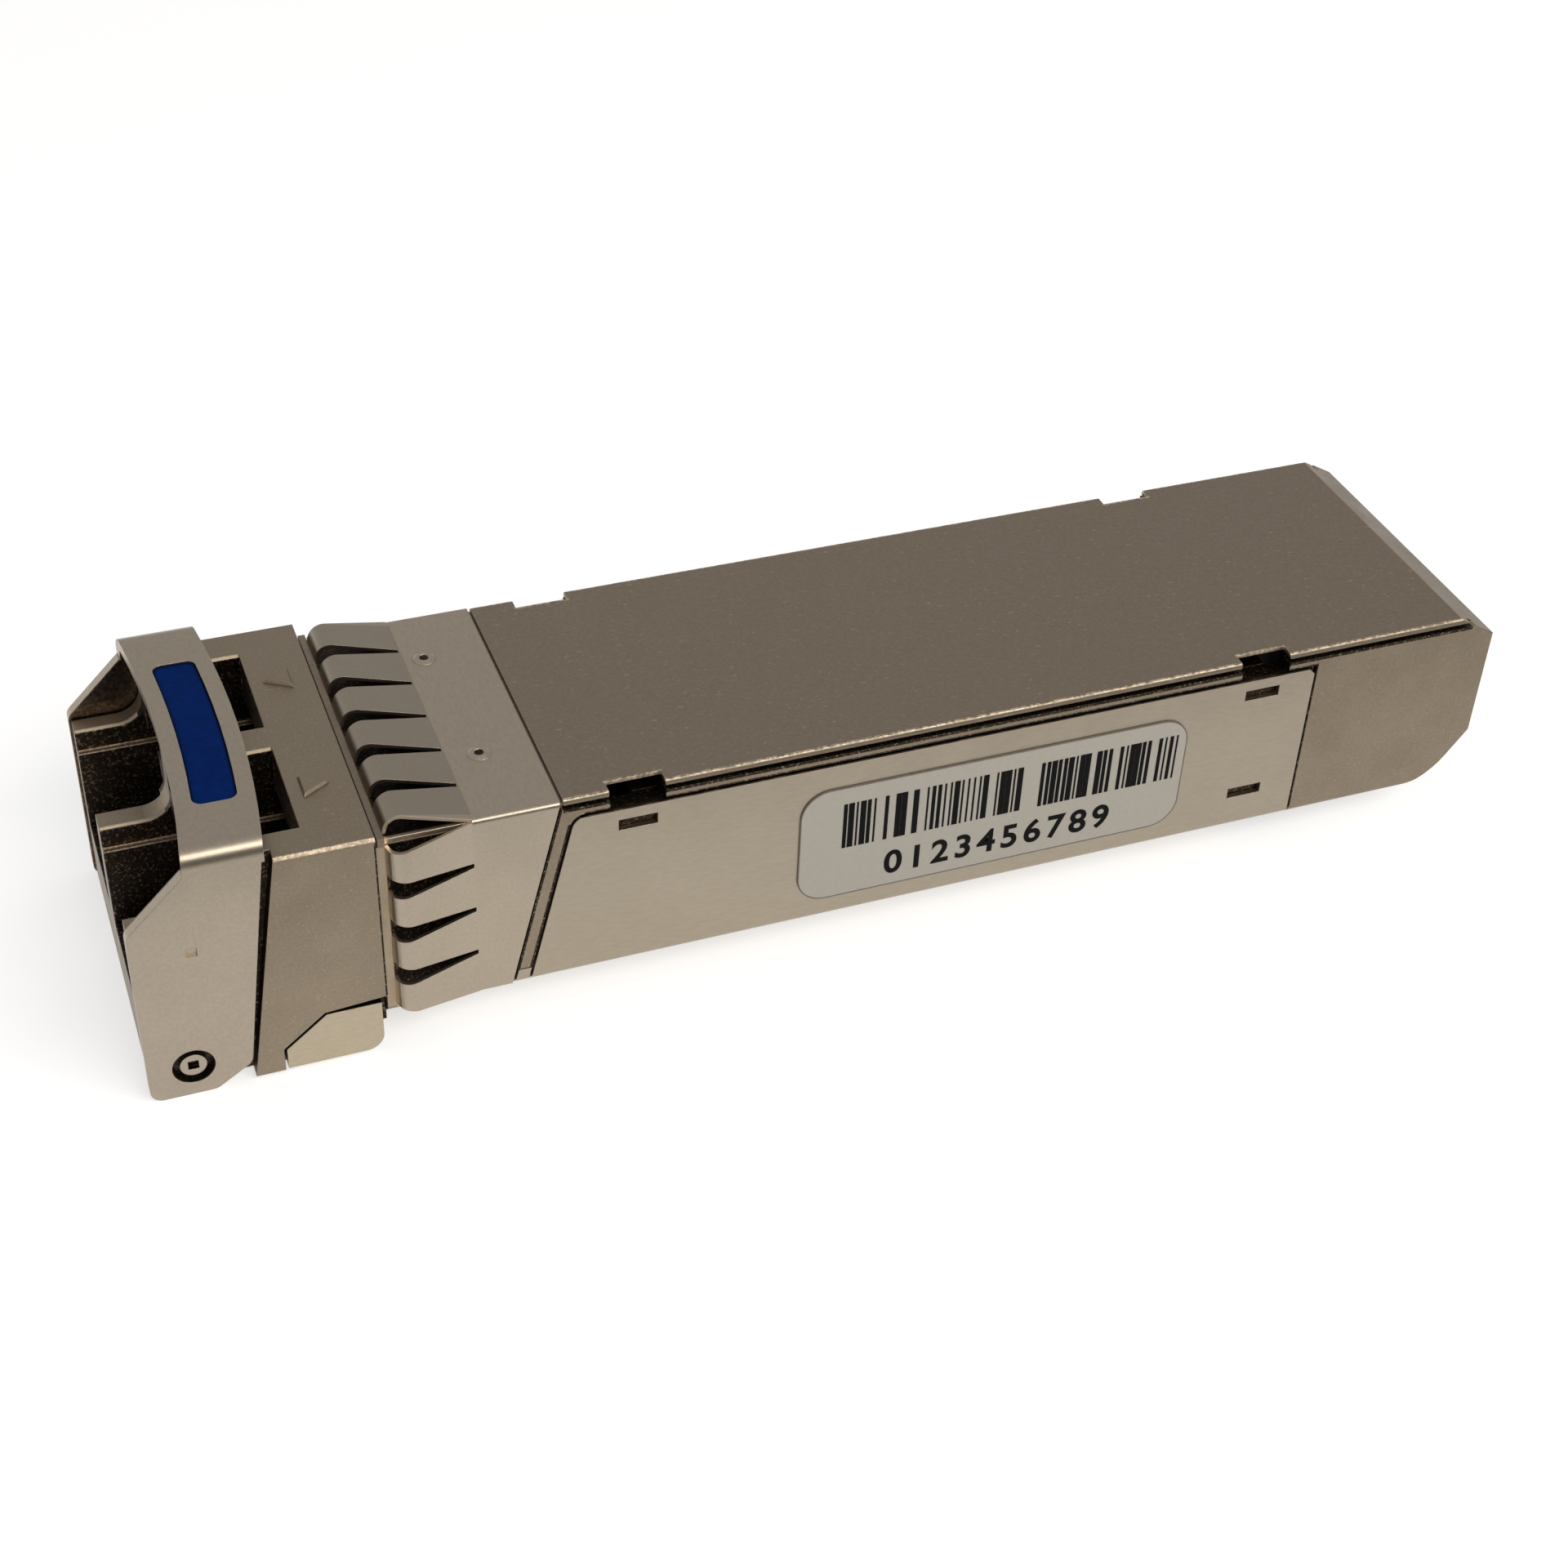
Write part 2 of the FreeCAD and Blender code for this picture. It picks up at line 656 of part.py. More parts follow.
def bail():
    arm_front = nose_front - arm_reach
    arm_foot = nose_bottom - arm_drop
    half_inner = half_nose - bail_sheet
    bend = bail_bend - bail_sheet
    hoop = prism("end", [(-half_nose, arm_foot), (half_nose, arm_foot), (half_nose, bail_top, bail_bend),
                         (-half_nose, bail_top, bail_bend)], arm_front, 0)
    hollow = prism("end", [(-half_inner, arm_foot), (half_inner, arm_foot), (half_inner, bail_under, bend),
                           (-half_inner, bail_under, bend)], arm_front, 0)
    arms = prism("side", [(arm_front, arm_foot, toe_round), (nose_front + toe_setback, arm_foot, toe_round),
                          (nose_front + heel_setback, heel_height, toe_round), (arm_rear(nose_top), nose_top),
                          (bar_front - bail_bow, nose_top), (arm_front, arm_shoulder, toe_round)],
                 -half_nose, half_nose)
    bar = bowed_plate(bar_front, bar_rear, half_nose, nose_top, bail_top)
    mark_x = nose_front + mark_setback
    mark = box(mark_x - mark_size / 2, mark_x + mark_size / 2, half_nose - mark_depth, half_nose,
               mark_height - mark_size / 2, mark_height + mark_size / 2)
    pin_hole = crossbar(pin_x, pin_height, pin_radius, -half_nose, half_nose)
    window = insert_plate(seat_gap, nose_top, bail_top)
    return hoop.cut(hollow).common(joined([arms, bar])).cut([pin_hole, window] + both(mark))


def bail_insert():
    top = insert_plate(0, bail_under, bail_top - insert_recess)
    lip = insert_blank(insert_lip, bail_under - insert_lip_thickness, bail_under)
    return joined([top, lip])


def bail_pin():
    pin_end = half_nose - pin_recess
    shaft = crossbar(pin_x, pin_height, pin_radius, -pin_end, pin_end)
    half_cam = tang_half_width + slide_gap
    flat = box(pin_x - pin_radius, pin_x + pin_radius, -half_cam, half_cam, pin_height - pin_radius,
               pin_height - cam_flat)
    tip_end = pin_end + pin_tip_length
    tips = both(crossbar(pin_x, pin_height, pin_tip_radius, pin_end, tip_end))
    half_punch = punch_size / 2
    punches = both(box(pin_x - half_punch, pin_x + half_punch, tip_end - punch_depth, tip_end,
                       pin_height - half_punch, pin_height + half_punch))
    return joined([shaft] + tips).cut([flat] + punches)


def latch_lever():
    half_plate = half_nose - flange_sheet
    plate = box(flange_front, flange_rear, -half_plate, half_plate, lever_bottom, lever_top)
    lower_corners = [(flange_rear, foot, flange_round), (flange_front, foot)]
    flange = prism("side", flange_outline(0, 0) + lower_corners, half_plate, half_nose)
    tang = box(pin_x - pin_radius, flange_front, -tang_half_width, tang_half_width, lever_bottom, lever_top)
    ear = box(pivot_x - ear_reach, pivot_x + ear_reach, ear_offset, ear_outer, lever_bottom,
              pivot_height + ear_reach)
    riser_front = flange_rear - lever_sheet
    riser = box(riser_front, flange_rear, -tongue_half_width, tongue_half_width, lever_bottom, tongue_top)
    tongue = box(riser_front, tongue_rear, -tongue_half_width, tongue_half_width, tongue_height, tongue_top)
    boss = prism("plan", [(latch_shoulder, -boss_width / 2), (boss_rear, -boss_tip / 2),
                          (boss_rear, boss_tip / 2), (latch_shoulder, boss_width / 2)],
                 -boss_height, tongue_height)
    ramp = prism("side", [(latch_shoulder, -boss_height), (latch_shoulder, tongue_height),
                          (boss_rear, tongue_height)], -boss_width, boss_width)
    sides = both(flange) + both(ear)
    bore = crossbar(pivot_x, pivot_height, pivot_radius + running_gap, -ear_outer, ear_outer)
    return joined([plate, tang, riser, tongue, boss.common(ramp)] + sides).cut(bore)


def latch_pivot():
    end = half_nose - flange_sheet - slide_gap
    return crossbar(pivot_x, pivot_height, pivot_radius, -end, end)


def latch_spring():
    """Leaf that lies on the ceiling of the latch bay and bends down to the tongue."""
    front = swing_gap
    bend = front + spring_foot
    touch = tongue_rear - swing_gap
    rest = bay_ceiling - spring_sheet
    return prism("side", [(front, bay_ceiling), (bend, bay_ceiling), (touch, tongue_top + spring_sheet),
                          (touch, tongue_top), (bend, rest), (front, rest)],
                 -spring_half_width, spring_half_width)


def circuit_board():
    half_board = inner - slide_gap
    half_edge = edge_width / 2
    corner = half_edge - contact_inset
    return prism("plan", [(board_front, -half_board), (edge_start, -half_board), (edge_start, -half_edge),
                          (board_rear - contact_inset, -half_edge), (board_rear, -corner), (board_rear, corner),
                          (board_rear - contact_inset, half_edge), (edge_start, half_edge),
                          (edge_start, half_board), (board_front, half_board)], board_height, board_top)


def edge_contacts():
    rear = board_rear - contact_inset
    front = rear - contact_length
    half = contact_width / 2
    pads = []
    for i in range(contacts_per_side):
        y = (i - (contacts_per_side - 1) / 2) * contact_pitch
        for z in (board_top, board_height - contact_thickness):
            pads.append(box(front, rear, y - half, y + half, z, z + contact_thickness))
    return Part.makeCompound(pads)


def barrel(side, bore):
    """Receptacle barrel: the outside is common, the bore is given as (x, radius) points from the front."""
    outside = [(flange_stop, flange_radius), (bulkhead_rear, flange_radius), (bulkhead_rear, barrel_radius),
               (barrel_front, barrel_radius)]
    return turned(outside + bore, side * port_pitch / 2, axis_height)


def transmitter_barrel():
    return barrel(1, [(barrel_front, sleeve_radius), (sleeve_rear, sleeve_radius), (sleeve_rear, ferrule_bore),
                      (flange_stop, ferrule_bore)])


def transmitter_sleeve():
    return turned([(barrel_front, ferrule_bore), (barrel_front, sleeve_radius), (sleeve_rear, sleeve_radius),
                   (sleeve_rear, ferrule_bore)], port_pitch / 2, axis_height)


def transmitter_stub():
    return lengthwise(port_pitch / 2, axis_height, ferrule_bore, stub_front, stub_rear)


def receiver_barrel():
    return barrel(-1, [(barrel_front, ferrule_bore), (stub_front, ferrule_bore), (stub_front, lens_radius),
                       (flange_stop, lens_radius)])


def receiver_lens():
    return lengthwise(-port_pitch / 2, axis_height, lens_radius, stub_front + lens_lead, stub_rear)


def optic_can(side, length):
    """Round can behind a barrel, with four leads out of its back."""
    y = side * port_pitch / 2
    back = flange_stop + length
    half = lead_width / 2
    leads = []
    for lead_y in (y - lead_offset, y + lead_offset):
        for lead_z in (axis_height - lead_offset, axis_height + lead_offset):
            leads.append(box(back, back + flex_stand, lead_y - half, lead_y + half, lead_z - half, lead_z + half))
    return joined([lengthwise(y, axis_height, can_radius, flange_stop, back)] + leads)


def flexible_strip(side, length):
    """Strip that takes the leads down to the board."""
    y = side * port_pitch / 2
    x = flange_stop + length + flex_stand
    top = axis_height + flex_rise
    end = board_front + flex_overlap
    fold = flex_bend + flex_sheet / 2
    return prism("side", [(x, top), (x, board_top + flex_bend), (x + flex_bend, board_top), (end, board_top),
                          (end, board_top + flex_sheet), (x + fold, board_top + flex_sheet),
                          (x + flex_sheet, board_top + fold), (x + flex_sheet, top)],
                 y - flex_width / 2, y + flex_width / 2)


def optics_clamp():
    """Plate that drops in behind both flanges and holds them against the bulkhead."""
    front = flange_stop + seat_gap
    half_width = inner + clamp_groove - seat_gap
    plate = box(front, front + clamp_thickness, -half_width, half_width, raised_floor, rim_height - slide_gap)
    radius = can_radius + seat_gap
    cuts = []
    for side in (-1, 1):
        y = side * port_pitch / 2
        cuts.append(lengthwise(y, axis_height, radius, 0, body_length))
        cuts.append(box(0, body_length, y - radius, y + radius, 0, axis_height))
    return plate.cut(cuts)


def block_on_board(size_x, size_y, height, x, y):
    return box(x - size_x / 2, x + size_x / 2, y - size_y / 2, y + size_y / 2, board_top, board_top + height)


def thermal_pad():
    whole = block_on_board(driver_size, driver_size, chip_height + pad_thickness, driver_x, chip_offset)
    return whole.cut(laser_driver())


def laser_driver():
    return block_on_board(driver_size, driver_size, chip_height, driver_x, chip_offset)


def receiver_amplifier():
    return block_on_board(amplifier_size, amplifier_size, chip_height, driver_x, -chip_offset)


def controller():
    return block_on_board(controller_size, controller_size, chip_height, controller_x, 0)


def capacitors():
    return Part.makeCompound([block_on_board(capacitor_length, capacitor_width, capacitor_width, capacitor_x,
                                             (i - (capacitor_count - 1) / 2) * capacitor_pitch)
                              for i in range(capacitor_count)])


def label():
    return prism("side", [(label_front, label_low, label_round), (label_rear, label_low, label_round),
                          (label_rear, label_high, label_round), (label_front, label_high, label_round)],
                 -half_body - label_thickness, -half_body)


pieces = {
    "lower_housing": lower_housing(),
    "top_cover": top_cover(),
    "side_wrap": side_wrap(),
    "emi_collar": emi_collar(),
    "bail": bail(),
    "bail_insert": bail_insert(),
    "bail_pin": bail_pin(),
    "latch_lever": latch_lever(),
    "latch_pivot": latch_pivot(),
    "latch_spring": latch_spring(),
    "circuit_board": circuit_board(),
    "edge_contacts": edge_contacts(),
    "transmitter_barrel": transmitter_barrel(),
    "transmitter_sleeve": transmitter_sleeve(),
    "transmitter_stub": transmitter_stub(),
    "transmitter_can": optic_can(1, transmitter_can_length),
    "transmitter_flex": flexible_strip(1, transmitter_can_length),
    "receiver_barrel": receiver_barrel(),
    "receiver_lens": receiver_lens(),
    "receiver_can": optic_can(-1, receiver_can_length),
    "receiver_flex": flexible_strip(-1, receiver_can_length),
    "optics_clamp": optics_clamp(),
    "laser_driver": laser_driver(),
    "receiver_amplifier": receiver_amplifier(),
    "controller": controller(),
    "thermal_pad": thermal_pad(),
    "capacitors": capacitors(),
    "label": label(),
}

os.makedirs("parts", exist_ok=True)
for name, shape in pieces.items():
    shape.exportStep("parts/" + name + ".step")
    print(name, len(shape.Solids), "solids", round(shape.Volume, 3), "mm3", shape.isValid())
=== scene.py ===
import json
import math

import bmesh
import bpy
from mathutils import Euler, Matrix, Vector


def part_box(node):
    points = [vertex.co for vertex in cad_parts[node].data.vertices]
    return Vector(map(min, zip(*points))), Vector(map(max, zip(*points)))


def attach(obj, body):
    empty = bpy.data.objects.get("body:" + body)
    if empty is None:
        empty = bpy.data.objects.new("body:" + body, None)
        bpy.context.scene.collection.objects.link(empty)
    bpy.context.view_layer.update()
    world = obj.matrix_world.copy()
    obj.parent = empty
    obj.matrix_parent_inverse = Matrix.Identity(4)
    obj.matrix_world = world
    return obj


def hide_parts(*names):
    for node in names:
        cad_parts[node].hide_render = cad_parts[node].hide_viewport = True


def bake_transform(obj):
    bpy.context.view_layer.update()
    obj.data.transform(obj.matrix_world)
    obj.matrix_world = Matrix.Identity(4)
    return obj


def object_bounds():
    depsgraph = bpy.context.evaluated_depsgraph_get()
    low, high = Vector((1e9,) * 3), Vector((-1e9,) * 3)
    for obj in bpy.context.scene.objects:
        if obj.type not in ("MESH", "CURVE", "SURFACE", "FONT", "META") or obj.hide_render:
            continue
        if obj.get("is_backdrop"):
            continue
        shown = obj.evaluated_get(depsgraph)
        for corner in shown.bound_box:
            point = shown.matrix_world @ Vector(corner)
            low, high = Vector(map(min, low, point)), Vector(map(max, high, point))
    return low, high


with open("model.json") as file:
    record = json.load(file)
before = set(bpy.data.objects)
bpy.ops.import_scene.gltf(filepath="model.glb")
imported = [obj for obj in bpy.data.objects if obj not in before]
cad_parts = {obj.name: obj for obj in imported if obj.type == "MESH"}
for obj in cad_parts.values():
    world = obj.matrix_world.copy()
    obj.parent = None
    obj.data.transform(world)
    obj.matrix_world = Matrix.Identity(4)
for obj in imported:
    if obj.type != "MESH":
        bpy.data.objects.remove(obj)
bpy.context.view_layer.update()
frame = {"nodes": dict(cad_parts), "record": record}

scene = bpy.context.scene
mm = 0.001
print("frame loaded:", len(frame["nodes"]), "pieces")


# camera, set to the photograph's view: places in mm, turn in degrees
cameraRig = {"place": (-12.71, -75.88, 66.43), "turn": (51.631, -2.183, -20.686), "lens": 57.5,
             "sensor": 36.0, "nearest": 1, "farthest": 20000}


def setCamera(rig):
    view = bpy.data.cameras.new("productView")
    view.lens = rig["lens"]
    view.sensor_width = rig["sensor"]
    view.clip_start = rig["nearest"] * mm
    view.clip_end = rig["farthest"] * mm
    camera = bpy.data.objects.new("productView", view)
    camera.location = Vector(rig["place"]) * mm
    camera.rotation_euler = Euler([math.radians(angle) for angle in rig["turn"]], "XYZ")
    scene.collection.objects.link(camera)
    scene.camera = camera


setCamera(cameraRig)
scene.view_settings.view_transform = "Standard"
print("camera set")


# places in a noise field, most of which lies from low to high, and fineness of softened edges
noiseLow = 0.3
noiseMiddle = 0.5
noiseHigh = 0.7
edgeSamples = 6
mixColours = {"under": 6, "over": 7, "result": 2}  # numbers of a mix node's colour sockets


def fromScreen(red, green, blue):  # linear colour of a screen colour from 0 to 255
    linear = []
    for value in (red / 255, green / 255, blue / 255):
        linear.append(value / 12.92 if value <= 0.04045 else ((value + 0.055) / 1.055) ** 2.4)
    return (*linear, 1.0)


def shaded(colour, factor):
    return (*[channel * factor for channel in colour[:3]], 1.0)


def newFinish(finishName):
    finish = bpy.data.materials.new(finishName)
    finish.use_nodes = True
    tree = finish.node_tree
    tree.nodes.clear()
    shader = tree.nodes.new("ShaderNodeBsdfPrincipled")
    output = tree.nodes.new("ShaderNodeOutputMaterial")
    tree.links.new(shader.outputs["BSDF"], output.inputs["Surface"])
    return finish, tree, shader


def grainField(tree, scale, stretch=(1, 1, 1), detail=3.0):  # noise on object coordinates, scale per metre
    place = tree.nodes.new("ShaderNodeTexCoord")
    turn = tree.nodes.new("ShaderNodeMapping")
    turn.inputs["Scale"].default_value = stretch
    field = tree.nodes.new("ShaderNodeTexNoise")
    field.inputs["Scale"].default_value = scale
    field.inputs["Detail"].default_value = detail
    tree.links.new(place.outputs["Object"], turn.inputs["Vector"])
    tree.links.new(turn.outputs["Vector"], field.inputs["Vector"])
    return field.outputs["Fac"]


def tint(tree, field, stops):  # colour that follows a field, stops are (place, colour)
    ramp = tree.nodes.new("ShaderNodeValToRGB")
    elements = ramp.color_ramp.elements
    while len(elements) < len(stops):
        elements.new(noiseMiddle)
    for element, (place, colour) in zip(elements, stops):
        element.position = place
        element.color = colour
    tree.links.new(field, ramp.inputs["Fac"])
    return ramp.outputs["Color"]


def spread(tree, field, low, high, start=noiseLow, end=noiseHigh):  # number that follows a field
    scale = tree.nodes.new("ShaderNodeMapRange")
    scale.inputs["From Min"].default_value = start
    scale.inputs["From Max"].default_value = end
    scale.inputs["To Min"].default_value = low
    scale.inputs["To Max"].default_value = high
    tree.links.new(field, scale.inputs["Value"])
    return scale.outputs["Result"]


def combined(tree, operation, one, other):
    node = tree.nodes.new("ShaderNodeMath")
    node.operation = operation
    tree.links.new(one, node.inputs[0])
    tree.links.new(other, node.inputs[1])
    return node.outputs["Value"]


def layered(tree, mask, under, over):  # one colour over another where the mask is 1
    choice = tree.nodes.new("ShaderNodeMix")
    choice.data_type = "RGBA"
    tree.links.new(mask, choice.inputs["Factor"])
    tree.links.new(under, choice.inputs[mixColours["under"]])
    tree.links.new(over, choice.inputs[mixColours["over"]])
    return choice.outputs[mixColours["result"]]


def relief(tree, shader, field, depth, strength, edge):  # fine surface relief over softened edges
    soft = tree.nodes.new("ShaderNodeBevel")
    soft.samples = edgeSamples
    soft.inputs["Radius"].default_value = edge
    bump = tree.nodes.new("ShaderNodeBump")
    bump.inputs["Distance"].default_value = depth
    bump.inputs["Strength"].default_value = strength
    tree.links.new(field, bump.inputs["Height"])
    tree.links.new(soft.outputs["Normal"], bump.inputs["Normal"])
    tree.links.new(bump.outputs["Normal"], shader.inputs["Normal"])


def inBand(tree, value, centre, reach):  # 1 where a value lies within reach of a centre
    band = tree.nodes.new("ShaderNodeMath")
    band.operation = "COMPARE"
    band.inputs[1].default_value = centre
    band.inputs[2].default_value = reach
    tree.links.new(value, band.inputs[0])
    return band.outputs["Value"]


def paintedRimShade(tree, colour, rim):  # colour with painted shade that darkens it along a piece's edges
    soft = tree.nodes.new("ShaderNodeBevel")
    soft.inputs["Radius"].default_value = rim["width"] * mm
    flat = tree.nodes.new("ShaderNodeNewGeometry")
    turned = tree.nodes.new("ShaderNodeVectorMath")
    turned.operation = "DOT_PRODUCT"
    tree.links.new(soft.outputs["Normal"], turned.inputs[0])
    tree.links.new(flat.outputs["Normal"], turned.inputs[1])
    dark = tree.nodes.new("ShaderNodeRGB")
    dark.outputs["Color"].default_value = fromScreen(*rim["colour"])
    mask = spread(tree, turned.outputs["Value"], 0, 1, rim["end"], rim["start"])
    return layered(tree, mask, colour, dark.outputs["Color"])


def leaned(tree, along, height, lean):  # place along the body, measured from a leaning edge
    node = tree.nodes.new("ShaderNodeMath")
    node.operation = "MULTIPLY_ADD"
    node.inputs[1].default_value = -lean
    tree.links.new(height, node.inputs[0])
    tree.links.new(along, node.inputs[2])
    return node.outputs["Value"]


def boxMask(tree, boxes):  # 1 inside boxes in mm: along, distance from the middle, height, and a lean
    place = tree.nodes.new("ShaderNodeTexCoord")
    parts = tree.nodes.new("ShaderNodeSeparateXYZ")
    tree.links.new(place.outputs["Object"], parts.inputs["Vector"])
    side = tree.nodes.new("ShaderNodeMath")
    side.operation = "ABSOLUTE"
    tree.links.new(parts.outputs["Y"], side.inputs[0])
    mask = None
    for along, across, height, *lean in boxes.values():
        station = parts.outputs["X"]
        if lean:
            station = leaned(tree, station, parts.outputs["Z"], lean[0])
        values = (station, side.outputs["Value"], parts.outputs["Z"])
        inside = None
        for value, (low, high) in zip(values, (along, across, height)):
            band = inBand(tree, value, (low + high) / 2 * mm, (high - low) / 2 * mm)
            inside = combined(tree, "MULTIPLY", inside, band) if inside else band
        mask = combined(tree, "MAXIMUM", mask, inside) if mask else inside
    return mask


# places in the grain where a patch changes least and most, and where painted shade is darkest, plain and lit
# by painted glints
patchStops = {"least": 0.4, "most": 0.58}
recessStops = {"dark": 0.36, "shadeTone": 0.58, "glint": 0.66}
recessShade = 0.5


def metalFinish(finishName, look):
    finish, tree, shader = newFinish(finishName)
    colour = fromScreen(*look["colour"])
    grain = grainField(tree, look["grain"], look["stretch"])
    cloud = grainField(tree, look["cloud"], detail=2.0)
    skin = tint(tree, grain, [(noiseLow, shaded(colour, 1 - look["variation"])), (noiseMiddle, colour),
                              (noiseHigh, shaded(colour, 1 + look["variation"]))])
    if "flecks" in look:
        flecks = look["flecks"]
        spots = grainField(tree, flecks["grain"], flecks["stretch"], detail=1.0)
        spark = tint(tree, cloud, [(noiseLow, shaded(colour, 1 + flecks["gain"] / 2)),
                                   (noiseHigh, shaded(colour, 1 + flecks["gain"]))])
        mask = spread(tree, spots, 0, 1, flecks["edge"], flecks["edge"] + flecks["fade"])
        skin = layered(tree, mask, skin, spark)
    # patches of painted highlight on edges, painted light by the fingers, and a darker tone on the top
    # fingers
    for patch in [look[kind] for kind in ("paintedHighlight", "paintedLight", "darkerTone") if kind in look]:
        least, most = patch["gain"]
        changed = tint(tree, grain, [(patchStops["least"], shaded(colour, 1 + least)),
                                     (patchStops["most"], shaded(colour, 1 + most))])
        skin = layered(tree, boxMask(tree, patch["boxes"]), skin, changed)
    # painted shade, with painted glints in it, over recesses, gaps, seams and dent pits
    if "recess" in look:
        recess = look["recess"]
        shadeTone = fromScreen(*recess["colour"])
        speckle = tint(tree, grain, [(recessStops["dark"], shaded(shadeTone, recessShade)),
                                     (recessStops["shadeTone"], shadeTone),
                                     (recessStops["glint"], shaded(shadeTone, recess["glint"]))])
        skin = layered(tree, boxMask(tree, recess["boxes"]), skin, speckle)
    tree.links.new(skin, shader.inputs["Base Color"])
    tree.links.new(spread(tree, cloud, *look["roughness"]), shader.inputs["Roughness"])
    shader.inputs["Metallic"].default_value = 1.0
    relief(tree, shader, grain, look["relief"] * mm, look["strength"], look["edge"] * mm)
    return finish


def softFinish(finishName, look):  # plastics, rubber, ceramic, board
    finish, tree, shader = newFinish(finishName)
    colour = fromScreen(*look["colour"])
    grain = grainField(tree, look["grain"])
    skin = tint(tree, grain, [(noiseLow, shaded(colour, 1 - look["variation"])),
                              (noiseHigh, shaded(colour, 1 + look["variation"]))])
    if "rim" in look:
        skin = paintedRimShade(tree, skin, look["rim"])
    tree.links.new(skin, shader.inputs["Base Color"])
    tree.links.new(spread(tree, grain, *look["roughness"]), shader.inputs["Roughness"])
    shader.inputs["Specular IOR Level"].default_value = look["specular"]
    relief(tree, shader, grain, look["relief"] * mm, look["strength"], look["edge"] * mm)
    return finish


def glassFinish(finishName, look):
    finish, tree, shader = newFinish(finishName)
    grain = grainField(tree, look["grain"])
    shader.inputs["Base Color"].default_value = fromScreen(*look["colour"])
    shader.inputs["Transmission Weight"].default_value = 1.0
    shader.inputs["IOR"].default_value = look["index"]
    tree.links.new(spread(tree, grain, *look["roughness"]), shader.inputs["Roughness"])
    return finish


# spans in mm that several boxes share, and the lean of the collar's rear edge
portsAlong = (-9.25, -0.75)
portsAcross = (0.5, 5.75)
fingersAlong = (0.42, 3.7)
frontNotchAlong = (8.88, 11.12)
rearNotchAlong = (35.53, 37.77)
notchAcross = (4.9, 6.68)
sideFace = (6.5, 6.75)
collarLean = 0.2474
